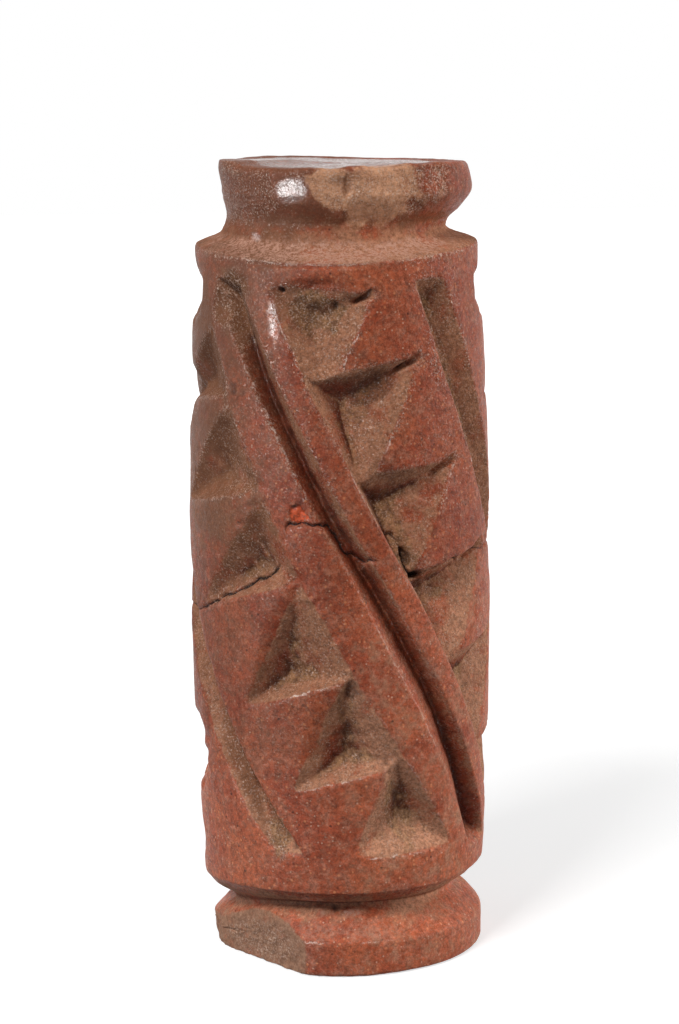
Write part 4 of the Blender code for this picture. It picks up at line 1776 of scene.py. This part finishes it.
        ragged = 0.34 * Unevenness(71).at(base, 1.0) + 0.2 * Unevenness(72).at(base, 0.45)
        crack = self.crack.signed_distance(angles, heights, ragged)
        openness = self.crack.openness(angles)
        groove = self.crack.depth * openness * np.exp(-((crack / self.crack.half_width) ** 2))
        crumbled = 0.5 + 1.6 * Unevenness(73).layered(base, 0.9, 2)
        lip = self.crack.lip * openness * bell(crack, 0.0, self.crack.lip_width) * crumbled
        sink = sink + groove + lip

        flaked, flake_depth = self._flaking(angles, heights, base)
        sink = sink + flake_depth
        scarred = self.ember.share(angles, heights) + 0.9 * Unevenness(91).layered(base, 1.1, 3, 0.7)
        ember = smooth_step(0.0, 0.3, scarred)
        sink = sink + ember * (0.28 + 0.35 * Unevenness(92).layered(base, 0.8, 2))
        edge = self._edges(raw, heights)
        return Relief(angles, heights, base, sink, raw, edge, crack, openness, flaked, ember)

    def _raw_carving(self, angles: Grid, heights: Grid, base: Grid) -> Grid:
        """Cut both panels' carving, with edges that sway as cut by hand.

        Args:
            angles: Angles of the points.
            heights: Heights of the points.
            base: Places of the points on a plain cylinder.

        Returns:
            The depths, below 0 outside the carving.
        """
        sway = 0.45 * Unevenness(3).at(base, 7.0) + 0.16 * Unevenness(5).at(base, 2.0)
        drift = 0.45 * Unevenness(11).at(base, 6.0) + 0.16 * Unevenness(12).at(base, 1.8)
        bent_angles = angles + sway / self.carving.arc * 0.5
        bent_heights = heights + drift * 0.5
        raw = np.full(angles.shape, UNCARVED)
        for turn in PANEL_TURNS:
            local = turn_between(bent_angles, turn)
            raw = np.maximum(raw, self.carving.edge_distance(local, bent_heights))
        return raw

    def _worn_carving(self, raw: Grid, angles: Grid, heights: Grid, base: Grid) -> Grid:
        """Round and chip the carving's edges, and roughen its floors and faces.

        Args:
            raw: The carving's depth before its edges are worn.
            angles: Angles of the points.
            heights: Heights of the points.
            base: Places of the points on a plain cylinder.

        Returns:
            How far each point lies below the uncarved outline.
        """
        worn = np.clip(0.16 + 0.4 * Unevenness(21).layered(base, 3.5, 2), 0.06, 0.42)
        for patch in self.softened:
            worn = worn + 0.8 * smooth_step(0.0, 0.8, patch.share(angles, heights))
        chips = np.clip(Unevenness(31).layered(base, 1.3, 2) - 0.2, 0.0, 0.5)
        sink = soft_max(raw, np.zeros(raw.shape), worn)
        sink = sink + 0.5 * chips * bell(raw, 0.0, 0.3)

        depth_share = smooth_step(0.25, 1.6, sink)
        rough = 0.16 * Unevenness(41).layered(base, 1.5, 2, 0.6) * depth_share
        along = self._along_slant(angles, heights)
        combed = 0.14 * Unevenness(51).at(along, 0.62) * depth_share
        faces = 0.14 * Unevenness(61).at(base, 8.0) + 0.05 * Unevenness(62).layered(base, 1.5, 2)
        return sink + rough + combed + faces + 0.06

    def _flaking(self, angles: Grid, heights: Grid, base: Grid) -> tuple[Grid, Grid]:
        """Flake the face off the knob.

        Args:
            angles: Angles of the points.
            heights: Heights of the points.
            base: Places of the points on a plain cylinder.

        Returns:
            How far each point has flaked, from 0 to 1, and how deep that goes.
        """
        spall = np.full(angles.shape, -1.0)
        for patch in self.spalls:
            spall = np.maximum(spall, patch.share(angles, heights))
        spall = spall + 0.3 * Unevenness(81).layered(base, 3.0, 3, 0.5)
        flaked = smooth_step(-0.05, 0.4, spall) * smooth_step(71.0, 72.6, heights)
        chipped = 0.34 * Unevenness(82).at(base, 3.6) + 0.1 * Unevenness(83).layered(base, 1.3, 2)
        return flaked, flaked * (0.14 + 0.5 * np.clip(spall, 0.0, 1.0) + chipped)

    def _edges(self, raw: Grid, heights: Grid) -> Grid:
        """Measure how far each point lies from the nearest edge.

        Args:
            raw: The carving's depth before its edges are worn.
            heights: Heights of the points.

        Returns:
            The distance, below 0 outside the carving.
        """
        across = np.gradient(raw, axis=1) / self.column_width
        up = np.gradient(raw, axis=0) / self.outline.cell
        edge = np.clip(raw / np.maximum(np.hypot(across, up), 0.25), -1.5, 1.5)
        for rim in self.rims:
            beside = heights - rim
            edge = np.where(np.abs(beside) < np.abs(edge), beside, edge)
        return edge

    def _along_slant(self, angles: Grid, heights: Grid) -> Grid:
        """Return places in which the carving's slant is drawn out, for marks left by a tool.

        Args:
            angles: Angles of the points.
            heights: Heights of the points.

        Returns:
            Places in space, squeezed along the slant.
        """
        across = angles * self.carving.arc
        slant = math.atan2(1.0, self.tool_slant)
        along = -across * math.cos(slant) + heights * math.sin(slant)
        over = across * math.sin(slant) + heights * math.cos(slant)
        return np.stack([over, self.tool_stretch * along, np.zeros(over.shape)], axis=-1)

    def _settle(self, angles: Grid, heights: Grid) -> Grid:
        """Return how far rims and edges stray up or down, as modelled by hand.

        Args:
            angles: Angles of the points.
            heights: Heights of the points.

        Returns:
            Millimetres up, below 0 for down.
        """
        turn = np.radians(angles)
        rightward = np.clip(np.sin(turn), 0.0, 1.0) ** 2
        leftward = np.clip(-np.sin(turn), 0.0, 1.0) ** 2
        frontward = np.clip(np.cos(turn), 0.0, 1.0) ** 2
        foot = smooth_step(1.5, 4.0, heights) * smooth_step(6.6, 5.9, heights)
        base_rim = smooth_step(5.9, 6.6, heights) * smooth_step(10.6, 7.6, heights)
        lower = -(self.foot_drop[0] * rightward**2 + self.foot_drop[1] * leftward**2) * foot
        lower = lower + (self.base_rise[0] * rightward**2 - self.base_rise[1] * leftward**2) * base_rim
        rising = self.neck_rise * frontward * smooth_step(4.2, 5.9, heights)
        lower = lower + rising * smooth_step(7.4, 6.3, heights)
        sides, front = self.shoulder_bend
        upper = sides * np.sin(turn) ** 2 - front * np.clip(np.cos(turn), 0.0, 1.0)
        upper = upper * bell(heights, 69.7, 1.5)
        top = np.zeros(angles.shape)
        for direction, drop in self.top_dips:
            top = top - drop * np.clip(np.cos(turn - direction), 0.0, 1.0)
        top = top * smooth_step(75.0, 77.6, heights)
        where, width, rise = self.knob_lump
        lump = rise * bell(turn_between(angles, where), 0.0, width) * smooth_step(75.6, 77.4, heights)
        return lower + upper + top + lump

    def _flat_breaks(self, angles: Grid, levels: Grid, radii: Grid) -> Grid:
        """Break flat pieces off the foot.

        Args:
            angles: Angles of the points.
            levels: Heights of the points.
            radii: Radii of the points.

        Returns:
            The radii, cut back to the flat breaks.
        """
        for flat in self.flat_breaks:
            tilt = math.radians(flat.lean)
            open_side = np.cos(np.radians(turn_between(angles, flat.facing))) * math.cos(tilt)
            limit = (flat.reach + levels * math.sin(tilt)) / np.maximum(open_side, 0.2)
            cut = soft_min(radii, limit, 0.35)
            radii = np.where((open_side > 0.25) & (levels < self.flat_break_top), cut, radii)
        return radii

    def _with_caps(self, side: Grid) -> Grid:
        """Add the rows of the underside and the top to the side's rows.

        Args:
            side: Places of the side's points.

        Returns:
            Places of all points, from the middle of the underside to the middle of the top.
        """
        lower_rows, upper_rows = self.outline.cap_rows
        shares = np.linspace(0.0, 1.0, lower_rows, endpoint=False)
        underside = np.array([side[0] * share for share in shares])
        right, dip = self.top_middle
        middle = np.array([right, 0.0, side[-1, :, 2].mean() - dip])
        shares = np.linspace(1.0, 0.0, upper_rows + 1)[1:]
        top = np.array([middle + (side[-1] - middle) * share for share in shares])
        self._roughen(underside, self.cap_bumps[0])
        highest = self._roughen(top, self.cap_bumps[1])
        underside[..., 2] = np.abs(underside[..., 2])
        top[..., 2] -= highest
        return np.concatenate([underside, side, top])

    @staticmethod
    def _roughen(rows: Grid, strength: float) -> float:
        """Make the rows of the underside or the top uneven, in place.

        Args:
            rows: Places of their points.
            strength: How uneven they become.

        Returns:
            Height of the highest bump.
        """
        fade = smooth_step(0.0, 1.0, np.hypot(rows[..., 0], rows[..., 1]) / 3.0)
        bumps = strength * Unevenness(101).layered(rows, 3.2, 3)
        rows[..., 2] += (bumps + 0.1 * Unevenness(102).at(rows, 9.0)) * (0.3 + 0.7 * fade)
        return bumps.max()

    @staticmethod
    def _cap_shares(skin: Grid, window: slice) -> tuple[Grid, Grid]:
        """Work out how far the side's marks carry on over the underside and the top.

        Args:
            skin: Places of all points.
            window: The rows that lie on the side.

        Returns:
            The share of the rim's marks at each point of the underside, and of the top.
        """
        shares = []
        for rows, start, end, low in (
            (skin[: window.start], 0.0, 1.0, 0.55),
            (skin[window.stop :], 1.0, 0.0, 0.62),
        ):
            ragged = 0.3 * Unevenness(121).layered(rows, 2.6, 3)
            shares.append(smooth_step(low, 1.0, np.linspace(start, end, len(rows))[:, None] + ragged))
        return shares[0], shares[1]

    @staticmethod
    def _over_caps(mark: Mark, value: Grid, shares: tuple[Grid, Grid]) -> Grid:
        """Carry a mark on over the underside and the top.

        Args:
            mark: The mark.
            value: Its values on the side.
            shares: How far the side's marks carry on over the underside and the top.

        Returns:
            Its values on the whole skin.
        """
        caps = []
        for row, share, distance in ((value[0], shares[0], -BEYOND), (value[-1], shares[1], BEYOND)):
            if mark in (Mark.CRACK, Mark.EDGE):
                caps.append(np.full(share.shape, distance))
            else:
                caps.append(row * share + row.mean() * (1.0 - share))
        if mark is Mark.GLOSS:
            caps[1][TOP_RIM_ROWS:] = TOP_GLOSS
        return np.concatenate([caps[0], value, caps[1]])

    def _sheet(self, skin: Grid) -> bpy.types.Object:
        """Return a sheet of square cells laid onto the skin.

        Args:
            skin: Places of all points, by row and column.

        Returns:
            The sheet's object, still open along its seam.
        """
        rows, columns = skin.shape[:2]
        bpy.ops.object.select_all(action="DESELECT")
        bpy.ops.mesh.primitive_grid_add(x_subdivisions=columns, y_subdivisions=rows - 1, size=2.0)
        piece = bpy.context.active_object
        piece.name = "stamp_skin"
        piece.data.name = "stamp_skin"
        flat = np.empty(len(piece.data.vertices) * 3, np.float32)
        piece.data.vertices.foreach_get("co", flat)
        flat = flat.reshape(-1, 3)
        column = np.rint((flat[:, 0] + 1.0) * 0.5 * columns).astype(int) % columns
        row = np.rint((flat[:, 1] + 1.0) * 0.5 * (rows - 1)).astype(int)
        self._cells = (row, column)
        placed = (skin[row, column] * MM).astype(np.float32)
        piece.data.vertices.foreach_set("co", placed.ravel())
        piece.data.update()
        return piece

    def _store_marks(self, piece: bpy.types.Object) -> None:
        """Store every mark on the sheet's points.

        Args:
            piece: The sheet's object.
        """
        row, column = self._cells
        for mark, values in self.marks.items():
            layer = piece.data.attributes.new(mark.value, "FLOAT", "POINT")
            layer.data.foreach_set("value", values[row, column].astype(np.float32))

    def _close_and_thin(self, piece: bpy.types.Object) -> None:
        """Close seam and poles, turn the faces outwards and thin the mesh.

        Args:
            piece: The sheet's object.
        """
        bpy.ops.object.mode_set(mode="EDIT")
        bpy.ops.mesh.select_all(action="SELECT")
        bpy.ops.mesh.remove_doubles(threshold=SAME_POINT)
        bpy.ops.mesh.normals_make_consistent(inside=False)
        bpy.ops.object.mode_set(mode="OBJECT")
        piece.data.calc_loop_triangles()
        thinning = piece.modifiers.new("Thinning", "DECIMATE")
        thinning.ratio = min(1.0, self.faces_kept / len(piece.data.loop_triangles))
        bpy.ops.object.modifier_apply(modifier=thinning.name)
        bpy.ops.object.shade_smooth()


@dataclass(frozen=True)
class Lamp:
    """A soft square lamp.

    Attributes:
        name: The lamp's name.
        place: Where it hangs.
        size: Length of its side.
        power: How strong it is.
        lights: Whether it lights the clay, and isn't only mirrored in its burnished places.
    """

    name: str
    place: Place
    size: float
    power: float
    lights: bool = True


@dataclass(frozen=True)
class Studio:
    """A plain pale floor, soft light and the camera.

    Attributes:
        camera_place: Where the camera stands.
        camera_pitch: How far it is tipped up from looking straight down.
        camera_roll: How far it is turned about its own axis.
        focal_pixels: Its focal length, in pixels of the picture.
        picture_height: The picture's height, in pixels.
        film_height: Height of its film, in millimetres.
        floor_width: Width of the floor.
        sky_light: Strength of the light from all round.
        target: The point at which the lamps aim.
        lamps: The lamps.
    """

    camera_place: Place = (0.0, -0.2762, 0.0895)
    camera_pitch: float = 80.5
    camera_roll: float = -0.70
    focal_pixels: float = 2838.0
    picture_height: float = 1024.0
    film_height: float = 36.0
    floor_width: float = 2.4
    sky_light: float = 0.18
    target: Place = (0.0, 0.0, 0.04)
    lamps: tuple[Lamp, ...] = (
        Lamp("key", (-0.34, -0.57, 0.68), 0.30, 6.6),
        Lamp("right", (0.80, 0.02, 0.17), 0.50, 5.8),
        Lamp("left", (-0.80, 0.12, 0.17), 0.50, 1.1),
        Lamp("glint", (-0.47, -0.38, 0.10), 0.26, 6.0, lights=False),
    )

    def build(self) -> None:
        """Build the floor, the light and the camera."""
        self._floor()
        self._sky()
        for lamp in self.lamps:
            self._hang(lamp)
        self._camera()
        bpy.context.scene.view_settings.view_transform = "Standard"

    def _floor(self) -> None:
        """Lay a wide white floor under the stamp."""
        bpy.ops.object.select_all(action="DESELECT")
        bpy.ops.mesh.primitive_plane_add(size=self.floor_width, location=(0.0, 0.0, 0.0))
        floor = bpy.context.active_object
        floor.name = "floor"
        white = bpy.data.materials.new("floor_white")
        white.use_nodes = True
        shader = white.node_tree.nodes["Principled BSDF"]
        shader.inputs["Base Color"].default_value = (0.6, 0.6, 0.6, 1.0)
        shader.inputs["Roughness"].default_value = 0.9
        shader.inputs["Emission Color"].default_value = (1.0, 1.0, 1.0, 1.0)
        bench = NodeBench(white.node_tree)
        away = bench.node("ShaderNodeVectorMath", operation="LENGTH")
        bench.feed(away.inputs[0], bench.place())
        glow = bench.ramp(away.outputs["Value"], 0.02, 0.45, 0.6, 1.0)
        bench.feed(shader.inputs["Emission Strength"], glow)
        floor.data.materials.append(white)
        floor.visible_diffuse = False

    def _sky(self) -> None:
        """Set an even white light from all round."""
        world = bpy.data.worlds.new("studio")
        world.use_nodes = True
        background = world.node_tree.nodes["Background"]
        background.inputs["Color"].default_value = (1.0, 1.0, 1.0, 1.0)
        bench = NodeBench(world.node_tree)
        way = bench.node("ShaderNodeSeparateXYZ")
        bench.feed(way.inputs["Vector"], bench.node("ShaderNodeTexCoord").outputs["Generated"])
        above = bench.ramp(way.outputs["Z"], -0.3, 0.7, 0.35 * self.sky_light, self.sky_light)
        path = bench.node("ShaderNodeLightPath")
        behind = bench.ramp(way.outputs["Y"], -0.2, 0.5)
        backdrop = bench.multiply(path.outputs["Is Glossy Ray"], behind)
        seen = bench.math("MAXIMUM", path.outputs["Is Camera Ray"], backdrop)
        bench.feed(background.inputs["Strength"], bench.math("MAXIMUM", above, seen))
        bpy.context.scene.world = world

    def _hang(self, lamp: Lamp) -> None:
        """Hang a lamp that points at the stamp.

        Args:
            lamp: The lamp.
        """
        light = bpy.data.lights.new(lamp.name, "AREA")
        light.size = lamp.size
        light.energy = lamp.power
        hung = bpy.data.objects.new(lamp.name, light)
        hung.location = lamp.place
        aim = Vector(self.target) - Vector(lamp.place)
        hung.rotation_euler = aim.to_track_quat("-Z", "Y").to_euler()
        hung.visible_diffuse = lamp.lights
        bpy.context.scene.collection.objects.link(hung)

    def _camera(self) -> None:
        """Set the camera at the photograph's angle."""
        lens = bpy.data.cameras.new("camera")
        lens.sensor_fit = "VERTICAL"
        lens.sensor_height = self.film_height
        lens.lens = self.film_height * self.focal_pixels / self.picture_height
        lens.clip_start = 0.001
        camera = bpy.data.objects.new("camera", lens)
        camera.matrix_world = (
            Matrix.Translation(self.camera_place)
            @ Matrix.Rotation(math.radians(self.camera_pitch), 4, "X")
            @ Matrix.Rotation(math.radians(self.camera_roll), 4, "Z")
        )
        bpy.context.scene.collection.objects.link(camera)
        bpy.context.scene.camera = camera


def main() -> None:
    """Build the stamp and its studio, and log the skin's triangle count."""
    logging.basicConfig(level=logging.INFO, format="%(message)s")
    body = StampBody()
    skin = body.build()
    body.dress(skin)
    skin.data.calc_loop_triangles()
    LOG.info("%s: %d triangles", skin.name, len(skin.data.loop_triangles))
    Studio().build()
    LOG.info("studio: floor, lamps and camera")


if __name__ == "__main__":
    main()
